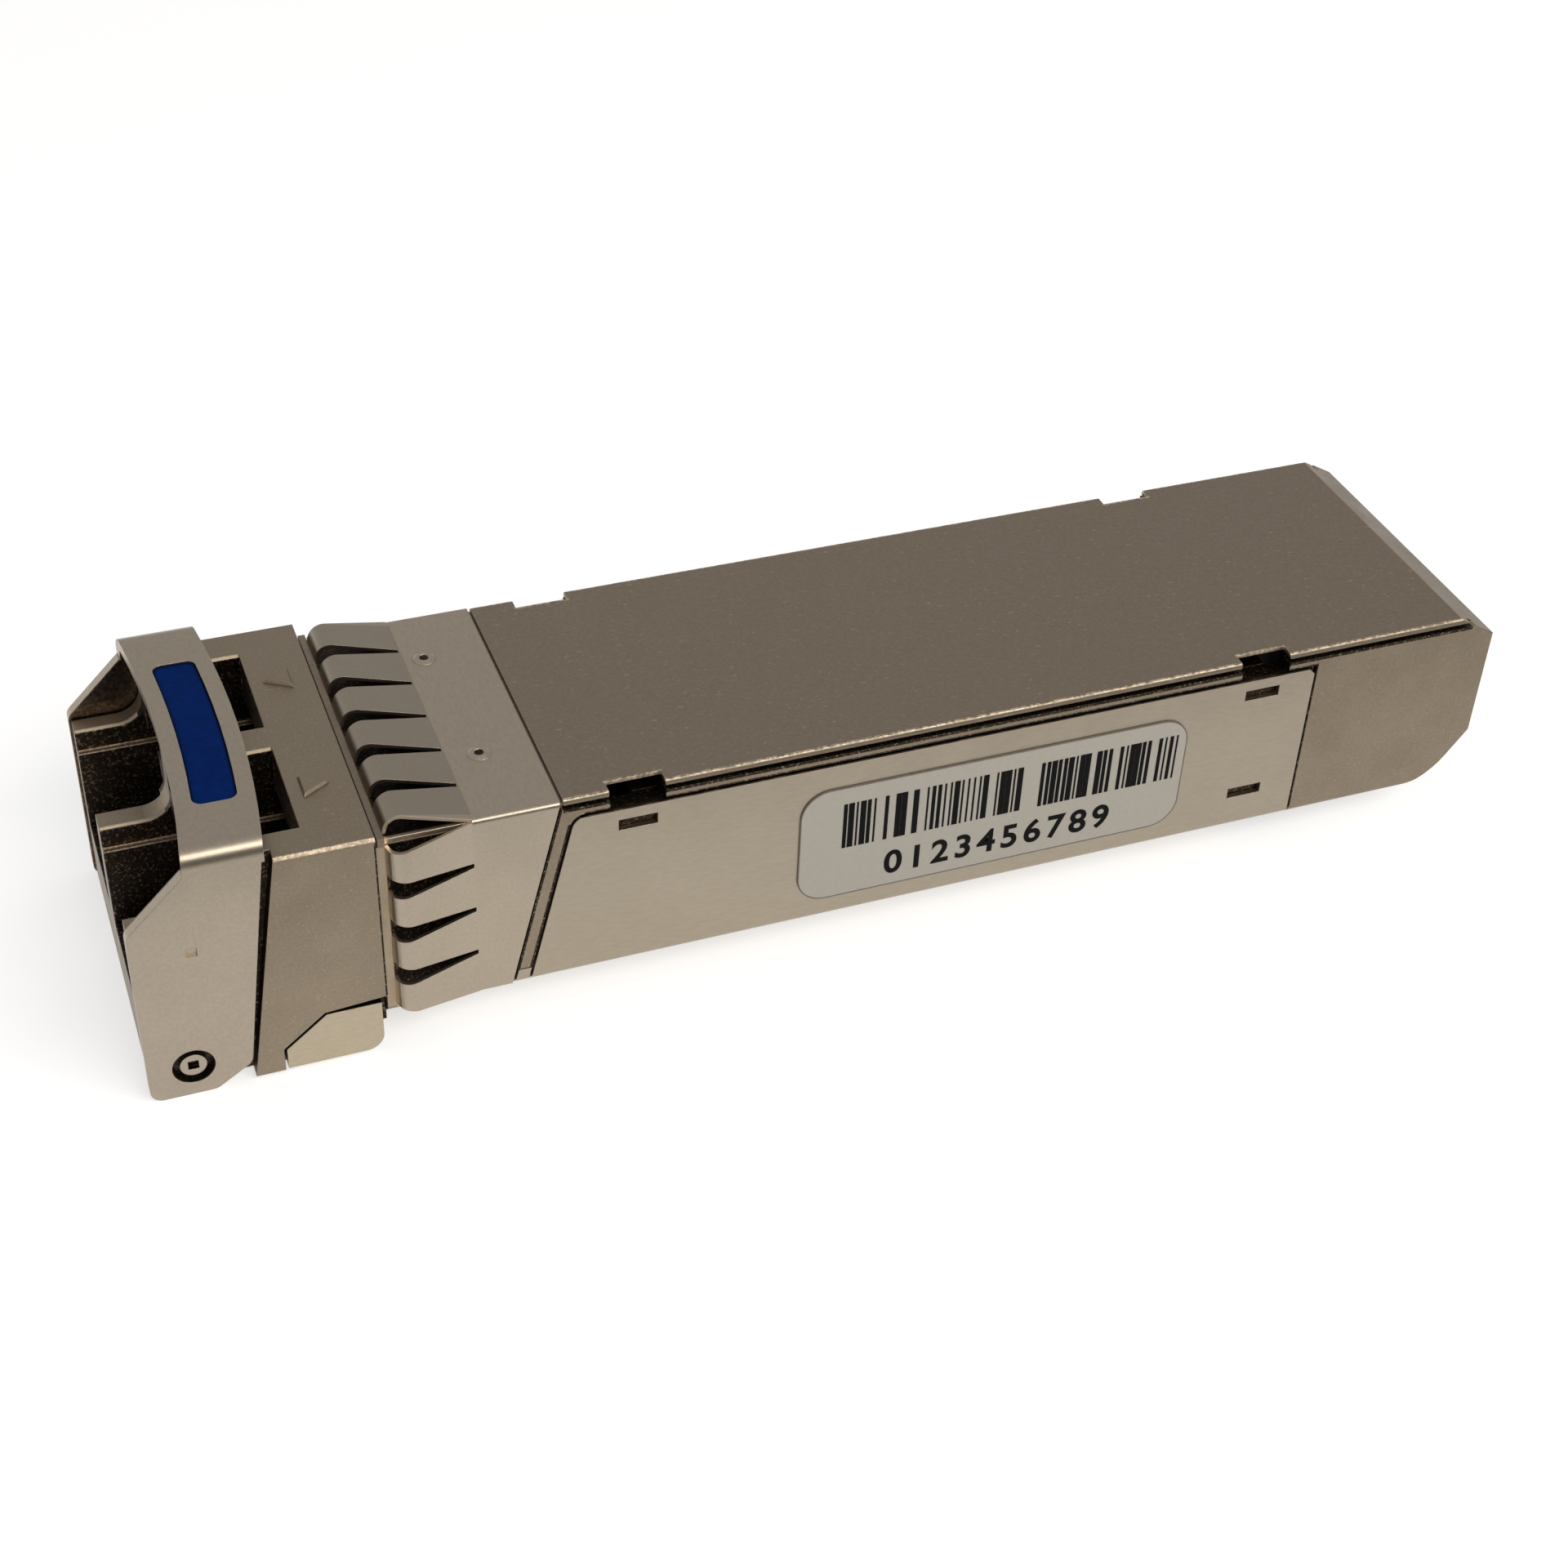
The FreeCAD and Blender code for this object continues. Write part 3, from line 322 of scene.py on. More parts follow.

# finishes of the metal pieces: screen colours, grains per metre, spread of roughness, relief and edges in mm;
# boxes mark painted shade in recesses and gaps, painted highlights on edges, painted light by the fingers,
# and darker top fingers
metals = {
    "die_cast": {
        "colour": (146, 133, 115), "grain": 9000, "stretch": (1, 1, 1), "cloud": 500, "variation": 0.08,
        "roughness": (0.42, 0.54), "relief": 0.012, "strength": 0.25, "edge": 0.07,
        "flecks": {"grain": 6000, "stretch": (1, 1, 1), "edge": 0.68, "fade": 0.05, "gain": 0.25},
        # painted shade in the ports, bays, gaps and seams
        "recess": {"colour": (62, 53, 44), "glint": 4.5, "boxes": {
            "lower ports": (portsAlong, portsAcross, (1.8, 5.5)),
            "upper ports": (portsAlong, portsAcross, (5.6, 8.8)),
            "bail bays": ((-5.6, -4.96), (6.45, 7.05), (-1.3, 8.85), 0.15),
            "lever bays": ((-4.1, 0.05), (6.45, 7.05), (-0.45, 1.3)),
            "nose ends": ((-0.07, 0.03), (6.6, 7.15), (1.3, 8.7)),
            "under the fingers": (fingersAlong, (6.4, 6.6), (0.3, 8.05)),
            "under the wrap": ((5.8, 39.0), (6.3, 6.55), (0.4, 7.7)),
            "front notches": (frontNotchAlong, notchAcross, (7.0, 8.15)),
            "rear notches": (rearNotchAlong, notchAcross, (7.0, 8.15)),
            "cover groove": ((7.1, 46.4), (6.2, 6.75), (8.0, 8.2)),
            "wrap groove": ((7.9, 39.1), (6.6, 6.75), (7.7, 7.84)),
            "collar edge": ((4.9, 5.05), sideFace, (0.7, 8.2), collarLean),
            "wrap edge": ((5.44, 5.6), sideFace, (0.7, 7.4), collarLean),
            "wrap tail": ((39.0, 39.12), sideFace, (0.3, 7.8))}},
        # painted highlights on the nose's edges and the port ledges
        "paintedHighlight": {"gain": (0.0, 0.7), "boxes": {
            "nose edges": ((-3.7, 0.05), (6.96, 7.12), (8.76, 8.92)),
            "port ledges": (portsAlong, portsAcross, (5.5, 5.6))}},
        # painted light on the strips by the fingers
        "paintedLight": {"gain": (0.36, 0.44), "boxes": {
            "strips by the fingers": ((0.0, 0.42), (6.6, 6.75), (0.3, 8.2))}}},
    "cover_plate": {
        "colour": (141, 128, 112), "grain": 7500, "stretch": (0.8, 1, 1), "cloud": 400, "variation": 0.07,
        "roughness": (0.42, 0.54), "relief": 0.012, "strength": 0.25, "edge": 0.05,
        "flecks": {"grain": 6000, "stretch": (0.5, 1, 1), "edge": 0.67, "fade": 0.05, "gain": 0.4},
        # painted shade under the fingers, in the notches and in the groove
        "recess": {"colour": (60, 52, 44), "glint": 2.0, "boxes": {
            "under the fingers": (fingersAlong, (-1.0, 6.35), (8.2, 8.4)),
            "front notches": (frontNotchAlong, notchAcross, (7.0, 8.34)),
            "rear notches": (rearNotchAlong, notchAcross, (7.0, 8.34)),
            "groove": ((7.1, 47.6), (6.2, 6.58), (8.1, 8.27))}},
        # painted highlights on the side edges and the notches' edges
        "paintedHighlight": {"gain": (0.0, 1.3), "boxes": {
            "side edges": ((7.1, 46.4), (6.45, 6.56), (8.3, 8.52)),
            "front notch edges": ((8.85, 11.15), (5.9, 6.05), (8.36, 8.52)),
            "rear notch edges": ((35.5, 37.8), (5.9, 6.05), (8.36, 8.52))}},
        # painted light on the edges by the fingers
        "paintedLight": {"gain": (1.8, 2.4), "boxes": {
            "edges by the fingers": (fingersAlong, (6.4, 6.6), (8.1, 8.4))}}},
    "wrap_sheet": {
        "colour": (168, 157, 140), "grain": 9000, "stretch": (0.25, 1, 1), "cloud": 300, "variation": 0.04,
        "roughness": (0.36, 0.44), "relief": 0.005, "strength": 0.08, "edge": 0.05,
        # painted shade along the top edges
        "recess": {"colour": (62, 53, 44), "glint": 2.0, "boxes": {
            "top edges": ((7.5, 38.9), (6.4, 6.75), (7.6, 7.7))}}},
    "spring_sheet": {
        "colour": (172, 160, 143), "grain": 9000, "stretch": (1, 0.4, 1), "cloud": 400, "variation": 0.05,
        "roughness": (0.32, 0.42), "relief": 0.005, "strength": 0.1, "edge": 0.03,
        # painted shade in the dents' pits
        "recess": {"colour": (60, 52, 44), "glint": 3.0, "boxes": {
            "far dent": ((4.3, 4.7), (3.48, 3.88), (8.503, 8.55)),
            "near dent": ((4.75, 5.15), (2.67, 3.07), (8.503, 8.55))}},
        # painted light on the side fingers' fronts
        "paintedLight": {"gain": (1.1, 1.3), "boxes": {
            "side finger fronts": ((0.35, 0.55), (6.5, 7.3), (0.2, 8.3))}},
        # the top fingers are given a darker tone
        "darkerTone": {"gain": (-0.19, -0.22), "boxes": {
            "top fingers": ((0.2, 3.72), (-1.0, 6.3), (8.2, 9.4))}}},
    "bail_sheet": {
        "colour": (168, 156, 140), "grain": 8000, "stretch": (1, 0.5, 1), "cloud": 350, "variation": 0.05,
        "roughness": (0.3, 0.38), "relief": 0.006, "strength": 0.1, "edge": 0.05,
        # painted shade inside the arms, under the bar, in the pin holes and at the square marks
        "recess": {"colour": (108, 95, 81), "glint": 1.3, "boxes": {
            "inside the arms": ((-9.2, -3.8), (6.5, 6.65), (-1.6, 9.3)),
            "under the bar": ((-6.9, -3.4), (-1.0, 6.5), (9.3, 9.4)),
            "pin holes": ((-8.3, -6.5), (6.5, 7.07), (-1.05, 0.8)),
            "square marks": ((-7.15, -6.65), (6.9, 7.08), (5.5, 5.65))}}},
    "pin_steel": {
        "colour": (168, 157, 141), "grain": 9000, "stretch": (1, 0.3, 1), "cloud": 900, "variation": 0.06,
        "roughness": (0.25, 0.36), "relief": 0.005, "strength": 0.15, "edge": 0.04,
        # painted shade round the pin's shoulders and punches
        "recess": {"colour": (50, 43, 36), "glint": 2.0, "boxes": {
            "shoulders": ((-8.3, -6.5), (6.7, 6.8), (-1.0, 0.8)),
            "punches": ((-7.62, -7.18), (6.7, 7.0), (-0.35, 0.09))}}},
    "lever_steel": {
        "colour": (182, 170, 148), "grain": 8000, "stretch": (0.5, 1, 1), "cloud": 400, "variation": 0.05,
        "roughness": (0.38, 0.46), "relief": 0.006, "strength": 0.1, "edge": 0.05,
        # painted shade along the flange's edges
        "recess": {"colour": (60, 52, 44), "glint": 2.0, "boxes": {
            "flange edges": ((-4.1, -0.2), (6.5, 7.05), (-1.2, 1.1))}}},
    "contact_gold": {
        "colour": (205, 165, 90), "grain": 9000, "stretch": (0.3, 1, 1), "cloud": 900, "variation": 0.06,
        "roughness": (0.2, 0.3), "relief": 0.003, "strength": 0.15, "edge": 0.02},
    "barrel_steel": {
        "colour": (160, 155, 146), "grain": 9000, "stretch": (3, 1, 1), "cloud": 600, "variation": 0.06,
        "roughness": (0.26, 0.36), "relief": 0.004, "strength": 0.2, "edge": 0.04},
    "can_gold": {
        "colour": (190, 158, 96), "grain": 6000, "stretch": (1, 1, 1), "cloud": 600, "variation": 0.06,
        "roughness": (0.24, 0.34), "relief": 0.004, "strength": 0.15, "edge": 0.05},
}

# finishes of the other pieces
softs = {
    "insert_plastic": {
        "colour": (2, 31, 87), "grain": 3000, "variation": 0.15, "roughness": (0.4, 0.52),
        "specular": 0.02, "relief": 0.01, "strength": 0.15, "edge": 0.16,
        # painted shade round the insert's edges
        "rim": {"width": 0.22, "colour": (2, 10, 38), "start": 0.9, "end": 0.995}},
    "board": {
        "colour": (14, 44, 30), "grain": 4000, "variation": 0.12, "roughness": (0.35, 0.5), "specular": 0.5,
        "relief": 0.01, "strength": 0.2, "edge": 0.03},
    "white_ceramic": {
        "colour": (232, 228, 218), "grain": 5000, "variation": 0.03, "roughness": (0.2, 0.3),
        "specular": 0.5, "relief": 0.003, "strength": 0.1, "edge": 0.03},
    "flex_film": {
        "colour": (172, 112, 44), "grain": 2500, "variation": 0.1, "roughness": (0.3, 0.42),
        "specular": 0.5, "relief": 0.006, "strength": 0.15, "edge": 0.03},
    "chip_epoxy": {
        "colour": (40, 40, 42), "grain": 9000, "variation": 0.2, "roughness": (0.55, 0.7),
        "specular": 0.35, "relief": 0.01, "strength": 0.3, "edge": 0.05},
    "pad_rubber": {
        "colour": (120, 134, 158), "grain": 3000, "variation": 0.1, "roughness": (0.75, 0.9),
        "specular": 0.2, "relief": 0.02, "strength": 0.3, "edge": 0.06},
    "chip_ceramic": {
        "colour": (104, 84, 64), "grain": 7000, "variation": 0.12, "roughness": (0.4, 0.5),
        "specular": 0.5, "relief": 0.005, "strength": 0.2, "edge": 0.03},
    "label_foil": {
        "colour": (168, 163, 154), "grain": 5000, "variation": 0.035, "roughness": (0.5, 0.6),
        "specular": 0.35, "relief": 0.006, "strength": 0.15, "edge": 0.03},
    # the label's cut edge with painted shade along it
    "label_cut_shade": {
        "colour": (112, 104, 94), "grain": 4000, "variation": 0.15, "roughness": (0.5, 0.65),
        "specular": 0.2, "relief": 0.004, "strength": 0.1, "edge": 0.01},
    "print_ink": {
        "colour": (10, 9, 9), "grain": 6000, "variation": 0.2, "roughness": (0.6, 0.75),
        "specular": 0.1, "relief": 0.004, "strength": 0.15, "edge": 0.01},
}

lensLook = {"colour": (235, 242, 244), "grain": 3000, "roughness": (0.02, 0.05), "index": 1.5}

finishes = {finishName: metalFinish(finishName, look) for finishName, look in metals.items()}
finishes.update({finishName: softFinish(finishName, look) for finishName, look in softs.items()})
finishes["lens_glass"] = glassFinish("lens_glass", lensLook)

for subpart in frame["record"]["subparts"]:
    cadPiece = frame["nodes"][subpart["node"]]
    cadPiece.data.materials.clear()
    cadPiece.data.materials.append(finishes[subpart["material_slot"]])
print("finishes made:", len(finishes))


def newPiece(pieceName, mesh, finish):
    piece = bpy.data.objects.new(pieceName, mesh)
    scene.collection.objects.link(piece)
    mesh.materials.clear()
    mesh.materials.append(finish)
    return piece


def addPiece(pieceName, mesh, finish, body):  # a piece that rides on one body
    piece = newPiece(pieceName, mesh, finish)
    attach(piece, body)


def evaluatedMesh(maker):
    graph = bpy.context.evaluated_depsgraph_get()
    return bpy.data.meshes.new_from_object(maker.evaluated_get(graph))


def bridge(form, ring, following):  # faces between two rings of corners
    for i in range(len(ring)):
        form.faces.new((ring[i - 1], ring[i], following[i], following[i - 1]))


def closedMesh(meshName, form):  # plain mesh of a form, with its faces outwards
    bmesh.ops.recalc_face_normals(form, faces=form.faces)
    mesh = bpy.data.meshes.new(meshName)
    form.to_mesh(mesh)
    form.free()
    return mesh


# printed bars on the label, widths and gaps by a fixed seed
printBars = {"bars": 62, "pitch": 0.25, "module": 0.08, "widest": 3, "height": 2.2, "film": 0.012, "seed": 7,
             "front": 18.45, "low": 3.45}
barInputs = {"Bars": "NodeSocketInt", "Pitch": "NodeSocketFloat", "Module": "NodeSocketFloat",
             "Widest": "NodeSocketInt", "Film": "NodeSocketFloat", "Height": "NodeSocketFloat",
             "Seed": "NodeSocketInt", "Start": "NodeSocketVector", "Ink": "NodeSocketMaterial"}


def barTree():
    tree = bpy.data.node_groups.new("labelBars", "GeometryNodeTree")
    sockets = {}
    for socketName, kind in barInputs.items():
        item = tree.interface.new_socket(name=socketName, in_out="INPUT", socket_type=kind)
        sockets[socketName] = item.identifier
    tree.interface.new_socket(name="Geometry", in_out="OUTPUT", socket_type="NodeSocketGeometry")
    sizes = tree.nodes.new("NodeGroupInput")
    step = tree.nodes.new("ShaderNodeCombineXYZ")
    row = tree.nodes.new("GeometryNodeMeshLine")
    row.mode = "OFFSET"
    tree.links.new(sizes.outputs["Pitch"], step.inputs["X"])
    tree.links.new(sizes.outputs["Bars"], row.inputs["Count"])
    tree.links.new(sizes.outputs["Start"], row.inputs["Start Location"])
    tree.links.new(step.outputs["Vector"], row.inputs["Offset"])
    modules = tree.nodes.new("FunctionNodeRandomValue")
    modules.data_type = "INT"
    drawn = {socket.name: socket for socket in modules.inputs if socket.enabled}
    drawn["Min"].default_value = 0
    tree.links.new(sizes.outputs["Widest"], drawn["Max"])
    tree.links.new(sizes.outputs["Seed"], drawn["Seed"])
    width = tree.nodes.new("ShaderNodeMath")
    width.operation = "MULTIPLY"
    tree.links.new(next(socket for socket in modules.outputs if socket.enabled), width.inputs[0])
    tree.links.new(sizes.outputs["Module"], width.inputs[1])
    gap = tree.nodes.new("FunctionNodeCompare")  # bars of no width are left out
    gap.data_type = "FLOAT"
    gap.operation = "GREATER_THAN"
    tree.links.new(width.outputs["Value"], gap.inputs["A"])
    size = tree.nodes.new("ShaderNodeCombineXYZ")
    tree.links.new(width.outputs["Value"], size.inputs["X"])
    tree.links.new(sizes.outputs["Film"], size.inputs["Y"])
    tree.links.new(sizes.outputs["Height"], size.inputs["Z"])
    block = tree.nodes.new("GeometryNodeMeshCube")
    block.inputs["Size"].default_value = (1, 1, 1)
    copies = tree.nodes.new("GeometryNodeInstanceOnPoints")
    tree.links.new(row.outputs["Mesh"], copies.inputs["Points"])
    tree.links.new(gap.outputs["Result"], copies.inputs["Selection"])
    tree.links.new(block.outputs["Mesh"], copies.inputs["Instance"])
    tree.links.new(size.outputs["Vector"], copies.inputs["Scale"])
    real = tree.nodes.new("GeometryNodeRealizeInstances")
    ink = tree.nodes.new("GeometryNodeSetMaterial")
    result = tree.nodes.new("NodeGroupOutput")
    tree.links.new(copies.outputs["Instances"], real.inputs["Geometry"])
    tree.links.new(real.outputs["Geometry"], ink.inputs["Geometry"])
    tree.links.new(sizes.outputs["Ink"], ink.inputs["Material"])
    tree.links.new(ink.outputs["Geometry"], result.inputs["Geometry"])
    return tree, sockets


def makeBars(look):
    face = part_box("label")[0].y
    tree, sockets = barTree()
    seedMesh = bpy.data.meshes.new("labelBarSeed")
    maker = bpy.data.objects.new("labelBarMaker", seedMesh)
    scene.collection.objects.link(maker)
    modifier = maker.modifiers.new("labelBars", "NODES")
    modifier.node_group = tree
    start = (look["front"] * mm, face - look["film"] * mm / 2, (look["low"] + look["height"] / 2) * mm)
    values = {"Bars": look["bars"], "Pitch": look["pitch"] * mm, "Module": look["module"] * mm,
              "Widest": look["widest"], "Film": look["film"] * mm, "Height": look["height"] * mm,
              "Seed": look["seed"], "Start": start, "Ink": finishes["print_ink"]}
    for socketName, value in values.items():
        modifier[sockets[socketName]] = value
    mesh = evaluatedMesh(maker)
    mesh.name = "label_bars"
    bpy.data.objects.remove(maker)
    addPiece("label_bars", mesh, finishes["print_ink"], "housing")


makeBars(printBars)


# row of plain digits under the bars
printDigits = {"text": "0123456789", "size": 1.6, "spacing": 1.28, "bold": 0.036, "film": 0.012,
               "front": 20.25, "low": 1.65}


def makeDigits(look):
    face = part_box("label")[0].y
    words = bpy.data.curves.new("labelDigits", "FONT")
    words.body = look["text"]
    words.size = look["size"] * mm
    words.space_character = look["spacing"]
    words.offset = look["bold"] * mm
    words.extrude = look["film"] * mm / 2
    maker = bpy.data.objects.new("labelDigitMaker", words)
    scene.collection.objects.link(maker)
    mesh = evaluatedMesh(maker)
    mesh.name = "label_digits"
    bpy.data.objects.remove(maker)
    place = Vector((look["front"] * mm, face - look["film"] * mm / 2, look["low"] * mm))
    mesh.transform(Matrix.Translation(place) @ Matrix.Rotation(math.radians(90), 4, "X"))
    addPiece("label_digits", mesh, finishes["print_ink"], "housing")


makeDigits(printDigits)


# cut edge round the label: a thin darker ring, the edge itself with painted shade along it
labelCutShade = {"corner": 1.2, "inside": 0.02, "outside": 0.03, "rise": 0.006, "steps": 10}


def roundedLoop(low, high, corner, steps):
    points = []
    centres = [(high.x - corner, high.z - corner), (low.x + corner, high.z - corner),
               (low.x + corner, low.z + corner), (high.x - corner, low.z + corner)]
    for quarter, (x, z) in enumerate(centres):
        for i in range(steps + 1):
            angle = math.radians(90) * (quarter + i / steps)
            points.append((x + corner * math.cos(angle), z + corner * math.sin(angle)))
    return points


def makeLabelCutShade(look):
    low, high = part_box("label")
    face = low.y - look["rise"] * mm
    inside = look["inside"]
    outside = -look["outside"]
    rings = []
    form = bmesh.new()
    for inset, y in ((inside, face), (outside, face), (outside, high.y), (inside, high.y)):
        shift = Vector((inset, 0, inset)) * mm
        loop = roundedLoop(low + shift, high - shift, (look["corner"] - inset) * mm, look["steps"])
        rings.append([form.verts.new((x, y, z)) for x, z in loop])
    for ring, following in zip(rings, rings[1:] + rings[:1]):
        bridge(form, ring, following)
    mesh = closedMesh("label_cut_shade", form)
    addPiece("label_cut_shade", mesh, finishes["label_cut_shade"], "housing")


makeLabelCutShade(labelCutShade)
print("label printed")


# cast triangles that show which way the light goes, on top of the nose
arrowMarks = {"height": 0.14, "slope": 0.08, "length": 1.1, "width": 1.3, "front": -1.9, "offset": 3.4}


def makeArrow(pieceName, look, side, tip):  # tip is -1 towards the plug, 1 towards the tail
    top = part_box("lower_housing")[1].z
    base = look["front"] + (look["length"] if tip < 0 else 0)
    point = base + tip * look["length"]
    centre = side * look["offset"]
    corners = [Vector((base, centre - look["width"] / 2)), Vector((point, centre)),
               Vector((base, centre + look["width"] / 2))]
    middle = (corners[0] + corners[1] + corners[2]) / 3
    reach = look["length"] / 3  # from the triangle's middle to its base
    inset = [middle + (corner - middle) * (1 - look["slope"] / reach) for corner in corners]
    form = bmesh.new()
    foot = [form.verts.new((corner.x * mm, corner.y * mm, top)) for corner in corners]
    crown = [form.verts.new((corner.x * mm, corner.y * mm, top + look["height"] * mm)) for corner in inset]
    form.faces.new(crown)
    form.faces.new(foot)
    bridge(form, foot, crown)
    mesh = closedMesh(pieceName, form)
    addPiece(pieceName, mesh, finishes["die_cast"], "housing")


makeArrow("arrow_out", arrowMarks, 1, -1)
makeArrow("arrow_in", arrowMarks, -1, 1)


# small punched dents with raised rims in the collar's top
collarDents = {"places": ((4.5, 3.68), (4.95, -2.87)), "top": 8.5, "steps": 24,
               "profile": ((0.48, 0.0), (0.32, 0.08), (0.22, 0.08), (0.13, 0.012))}


def makeDents(look):
    form = bmesh.new()
    for x, y in look["places"]:
        rings = []
        for radius, rise in look["profile"]:
            ring = []
            for i in range(look["steps"]):
                angle = 2 * math.pi * i / look["steps"]
                place = (x + radius * math.cos(angle), y + radius * math.sin(angle), look["top"] + rise)
                ring.append(form.verts.new(Vector(place) * mm))
            rings.append(ring)
        for outer, inner in zip(rings, rings[1:]):
            bridge(form, outer, inner)
        form.faces.new(rings[-1])
        form.faces.new(reversed(rings[0]))
    mesh = closedMesh("collar_dents", form)
    addPiece("collar_dents", mesh, finishes["spring_sheet"], "housing")


makeDents(collarDents)
print("marks made")


# plugs that close the ends of the pivot's bore beside the latch lever, up to the edge of the lever's bay
pivotPlugs = {"centre": (-3.0, 0.2), "radius": 0.5, "bayEdge": ((-4.06, -0.305), (-2.405, 1.09)),
              "inner": 6.6, "outer": 7.1, "steps": 12}


def makePlugs(look):
    centre = Vector(look["centre"])
    first, last = [Vector(corner) for corner in look["bayEdge"]]
    along = (last - first).normalized()
    reach = first + along * (centre - first).dot(along) - centre
    middle = math.atan2(reach.y, reach.x)
    half = math.acos(reach.length / look["radius"])
    form = bmesh.new()
    for side in (1, -1):
        rings = []
        for depth in (look["inner"], look["outer"]):
            ring = []
            for i in range(look["steps"] + 1):
                angle = middle + half * (2 * i / look["steps"] - 1)
                x = centre.x + look["radius"] * math.cos(angle)
                z = centre.y + look["radius"] * math.sin(angle)
                ring.append(form.verts.new(Vector((x, side * depth, z)) * mm))
            form.faces.new(ring)
            rings.append(ring)
        bridge(form, *rings)
    mesh = closedMesh("pivot_plugs", form)
    addPiece("pivot_plugs", mesh, finishes["die_cast"], "housing")


makePlugs(pivotPlugs)


# black sheet inside the rear notches: painted shade that hides what lies behind them
notchShadeSheet = {"front": 34.6, "rear": 40.2, "side": 4.95, "sheet": 0.05, "low": 5.8, "cover": 0.2}


def makeShadeSheet(look):
    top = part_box("top_cover")[1].z / mm - look["cover"]
    outline = ((look["front"], look["low"]), (look["rear"], look["low"]),
               (look["rear"], top), (look["front"], top))
    form = bmesh.new()
    for side in (1, -1):
        rings = []
        for depth in (look["side"], look["side"] + look["sheet"]):
            ring = [form.verts.new(Vector((x, side * depth, z)) * mm) for x, z in outline]
            form.faces.new(ring)
            rings.append(ring)
        bridge(form, *rings)
    mesh = closedMesh("notch_shade_sheet", form)
    addPiece("notch_shade_sheet", mesh, finishes["chip_epoxy"], "housing")


makeShadeSheet(notchShadeSheet)
print("plugs and film set")


# leaf spring over the latch, which bends between its foot on the casting and the lever's tongue
springLeaf = {"sheet": 0.12, "foot": 0.95, "steps": 12}


def makeSpring(look):
    low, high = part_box("latch_spring")
    sheet = look["sheet"] * mm
    bend = low.x + look["foot"] * mm
    fall = high.z - low.z - sheet
    stations = [(low.x, high.z)]
    for i in range(look["steps"] + 1):
        share = i / look["steps"]
        stations.append((bend + (high.x - bend) * share, high.z - fall * share))
    form = bmesh.new()
    rings = []
    for x, top in stations:
        section = ((low.y, top), (high.y, top), (high.y, top - sheet), (low.y, top - sheet))
        rings.append([form.verts.new((x, y, z)) for y, z in section])
    for ring, following in zip(rings, rings[1:]):
        bridge(form, ring, following)
    form.faces.new(rings[0])
    form.faces.new(rings[-1])
    leaf = newPiece("spring_leaf", closedMesh("spring_leaf", form), finishes["spring_sheet"])
    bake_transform(leaf)
    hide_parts("latch_spring")


makeSpring(springLeaf)
print("spring set")


# pale floor that shows white and keeps the shadow
floorLook = {"size": 3000, "colour": (0.62, 0.62, 0.62, 1.0), "glow": 0.55, "gap": 0.02,
             "near": -16, "far": -45, "dark": 0.15, "front": 0, "rear": 50, "tail": 0.9,
             "unlit": {"under the lever": ((-5.0, -2.0), (-1.0, 6.4), (-2.0, -1.0))}}


def mixed(tree, mask, under, over):  # one shader over another where the mask is 1
    choice = tree.nodes.new("ShaderNodeMixShader")
    tree.links.new(mask, choice.inputs["Fac"])
    tree.links.new(under, choice.inputs[1])
    tree.links.new(over, choice.inputs[2])
    return choice.outputs["Shader"]


def byRay(tree, cast, mirrored, seen):  # what lights the part, what metal shows and what is seen
    path = tree.nodes.new("ShaderNodeLightPath")
    indirect = mixed(tree, path.outputs["Is Glossy Ray"], cast, mirrored)
    direct = combined(tree, "MAXIMUM", path.outputs["Is Camera Ray"], path.outputs["Is Transmission Ray"])
    return mixed(tree, direct, indirect, seen)


def makeFloor(look):
    half = look["size"] / 2 * mm
    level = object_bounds()[0][2] - look["gap"] * mm
    mesh = bpy.data.meshes.new("floor")
    corners = [(-half, -half, level), (half, -half, level), (half, half, level), (-half, half, level)]
    mesh.from_pydata(corners, [], [(0, 1, 2, 3)])
    floor = bpy.data.objects.new("floor", mesh)
    scene.collection.objects.link(floor)
    paper = bpy.data.materials.new("floor_paper")
    paper.use_nodes = True
    tree = paper.node_tree
    tree.nodes.clear()
    matt = tree.nodes.new("ShaderNodeBsdfDiffuse")
    matt.inputs["Color"].default_value = look["colour"]
    glow = tree.nodes.new("ShaderNodeEmission")
    # painted shadow: the floor has no glow under the lever
    paintedShadowMask = boxMask(tree, look["unlit"])
    tree.links.new(spread(tree, paintedShadowMask, look["glow"], 0.0, 0.0, 1.0), glow.inputs["Strength"])
    bright = tree.nodes.new("ShaderNodeAddShader")
    tree.links.new(matt.outputs["BSDF"], bright.inputs[0])
    tree.links.new(glow.outputs["Emission"], bright.inputs[1])
    # metal shows the floor darker further in front and by the tail
    place = tree.nodes.new("ShaderNodeTexCoord")
    parts = tree.nodes.new("ShaderNodeSeparateXYZ")
    tree.links.new(place.outputs["Object"], parts.inputs["Vector"])
    ahead = spread(tree, parts.outputs["Y"], look["dark"], 1.0, look["far"] * mm, look["near"] * mm)
    along = spread(tree, parts.outputs["X"], 1.0, look["tail"], look["front"] * mm, look["rear"] * mm)
    unlit = tree.nodes.new("ShaderNodeEmission")
    unlit.inputs["Strength"].default_value = 0.0
    mask = combined(tree, "MULTIPLY", ahead, along)
    mirrored = mixed(tree, mask, unlit.outputs["Emission"], bright.outputs["Shader"])
    surface = byRay(tree, matt.outputs["BSDF"], mirrored, bright.outputs["Shader"])
    output = tree.nodes.new("ShaderNodeOutputMaterial")
    tree.links.new(surface, output.inputs["Surface"])
    mesh.materials.append(paper)
    floor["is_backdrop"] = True


makeFloor(floorLook)


# white room for soft light, which metal shows darker overhead and on one side
roomLook = {"glow": 0.5, "ceiling": 0.56, "rise": 0.4, "darkWay": (0.15, -0.97, 0.17), "darkEdge": 0.82,
            "darkCore": 0.966, "dark": 0.12, "rightEdge": 0.1, "rightCore": 0.55, "right": 0.88}


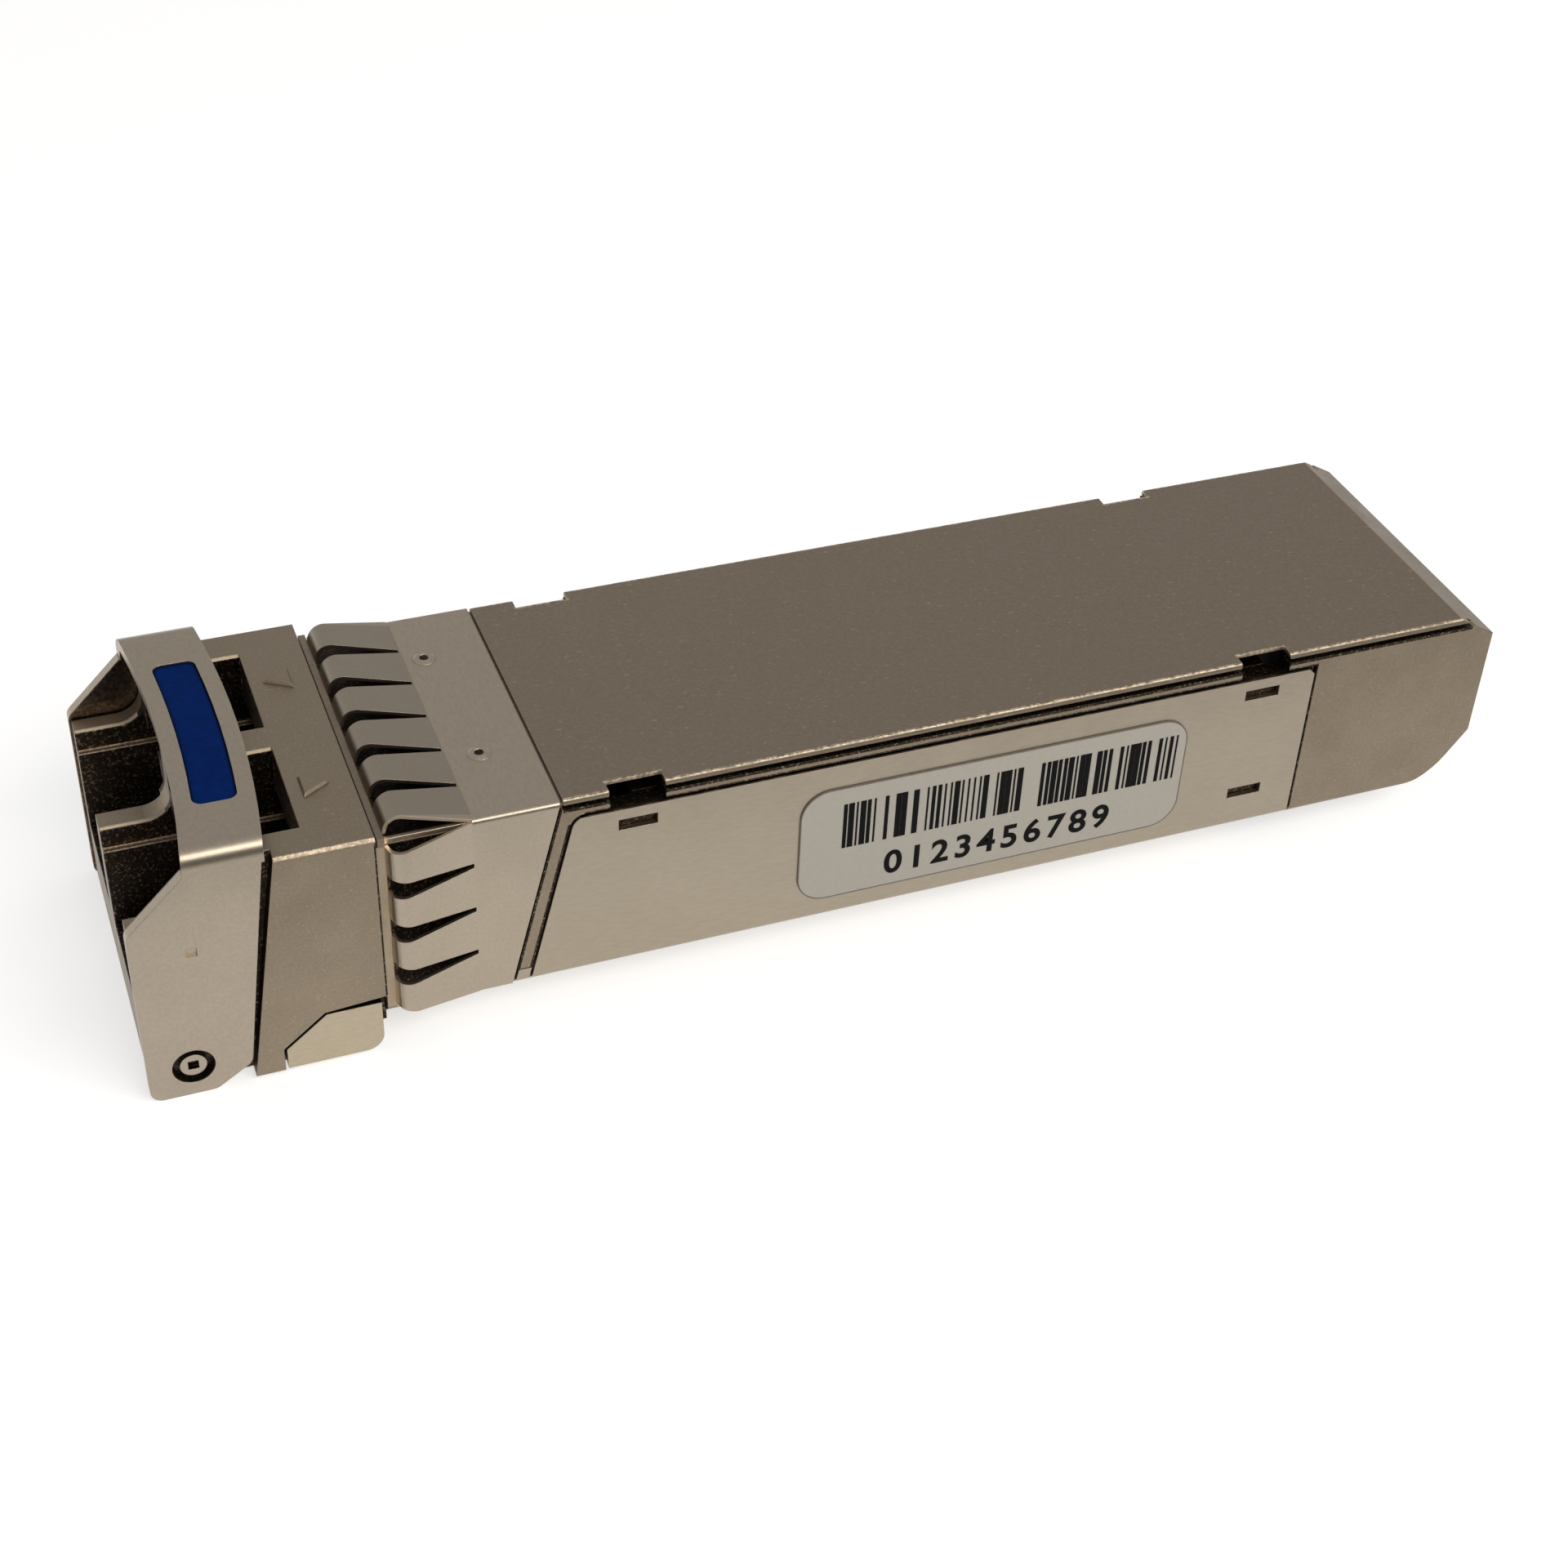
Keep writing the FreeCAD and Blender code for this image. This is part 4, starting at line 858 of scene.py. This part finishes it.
def makeRoom(look):
    room = bpy.data.worlds.new("studioRoom")
    room.use_nodes = True
    tree = room.node_tree
    tree.nodes.clear()
    white = tree.nodes.new("ShaderNodeBackground")
    dim = tree.nodes.new("ShaderNodeBackground")
    dim.inputs["Strength"].default_value = look["glow"]
    walls = tree.nodes.new("ShaderNodeBackground")  # what metal shows: white walls under a darker ceiling
    for background in (white, dim, walls):
        background.inputs["Color"].default_value = (1, 1, 1, 1)
    way = tree.nodes.new("ShaderNodeTexCoord")
    parts = tree.nodes.new("ShaderNodeSeparateXYZ")
    fade = tree.nodes.new("ShaderNodeMapRange")
    fade.interpolation_type = "SMOOTHSTEP"
    fade.inputs["From Max"].default_value = look["rise"]
    fade.inputs["To Min"].default_value = 1.0
    fade.inputs["To Max"].default_value = look["ceiling"]
    tree.links.new(way.outputs["Generated"], parts.inputs["Vector"])
    tree.links.new(parts.outputs["Z"], fade.inputs["Value"])
    towards = tree.nodes.new("ShaderNodeVectorMath")  # how near a direction is to the dark side
    towards.operation = "DOT_PRODUCT"
    towards.inputs[1].default_value = look["darkWay"]
    tree.links.new(way.outputs["Generated"], towards.inputs[0])
    shade = spread(tree, towards.outputs["Value"], 1.0, look["dark"], look["darkEdge"], look["darkCore"])
    right = spread(tree, parts.outputs["X"], 1.0, look["right"], look["rightEdge"], look["rightCore"])
    shade = combined(tree, "MULTIPLY", shade, right)
    tree.links.new(combined(tree, "MULTIPLY", fade.outputs["Result"], shade), walls.inputs["Strength"])
    surface = byRay(tree, dim.outputs["Background"], walls.outputs["Background"],
                    white.outputs["Background"])
    output = tree.nodes.new("ShaderNodeOutputWorld")
    tree.links.new(surface, output.inputs["Surface"])
    scene.world = room


makeRoom(roomLook)


# a long lamp above and one low in front: places and sizes in mm, power in watts
lamps = {
    "overhead": {"place": (110, -215, 235), "size": (300, 150), "power": 0.68, "colour": (1.0, 0.96, 0.9),
                 "mirrored": True},
    "front": {"place": (60, -330, 40), "size": (200, 200), "power": 0.1, "colour": (1.0, 0.97, 0.93),
              "mirrored": False},
}


def makeLamp(lampName, look, target):
    light = bpy.data.lights.new(lampName, "AREA")
    light.shape = "RECTANGLE"
    light.size = look["size"][0] * mm
    light.size_y = look["size"][1] * mm
    light.energy = look["power"]
    light.color = look["colour"]
    lamp = bpy.data.objects.new(lampName, light)
    lamp.location = Vector(look["place"]) * mm
    lamp.visible_glossy = look["mirrored"]
    lamp.rotation_euler = (target - lamp.location).to_track_quat("-Z", "Y").to_euler()
    scene.collection.objects.link(lamp)


bodyMiddle = (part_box("top_cover")[0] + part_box("side_wrap")[1]) / 2
for lampName, look in lamps.items():
    makeLamp(lampName, look, bodyMiddle)
print("floor, room and lamps set")
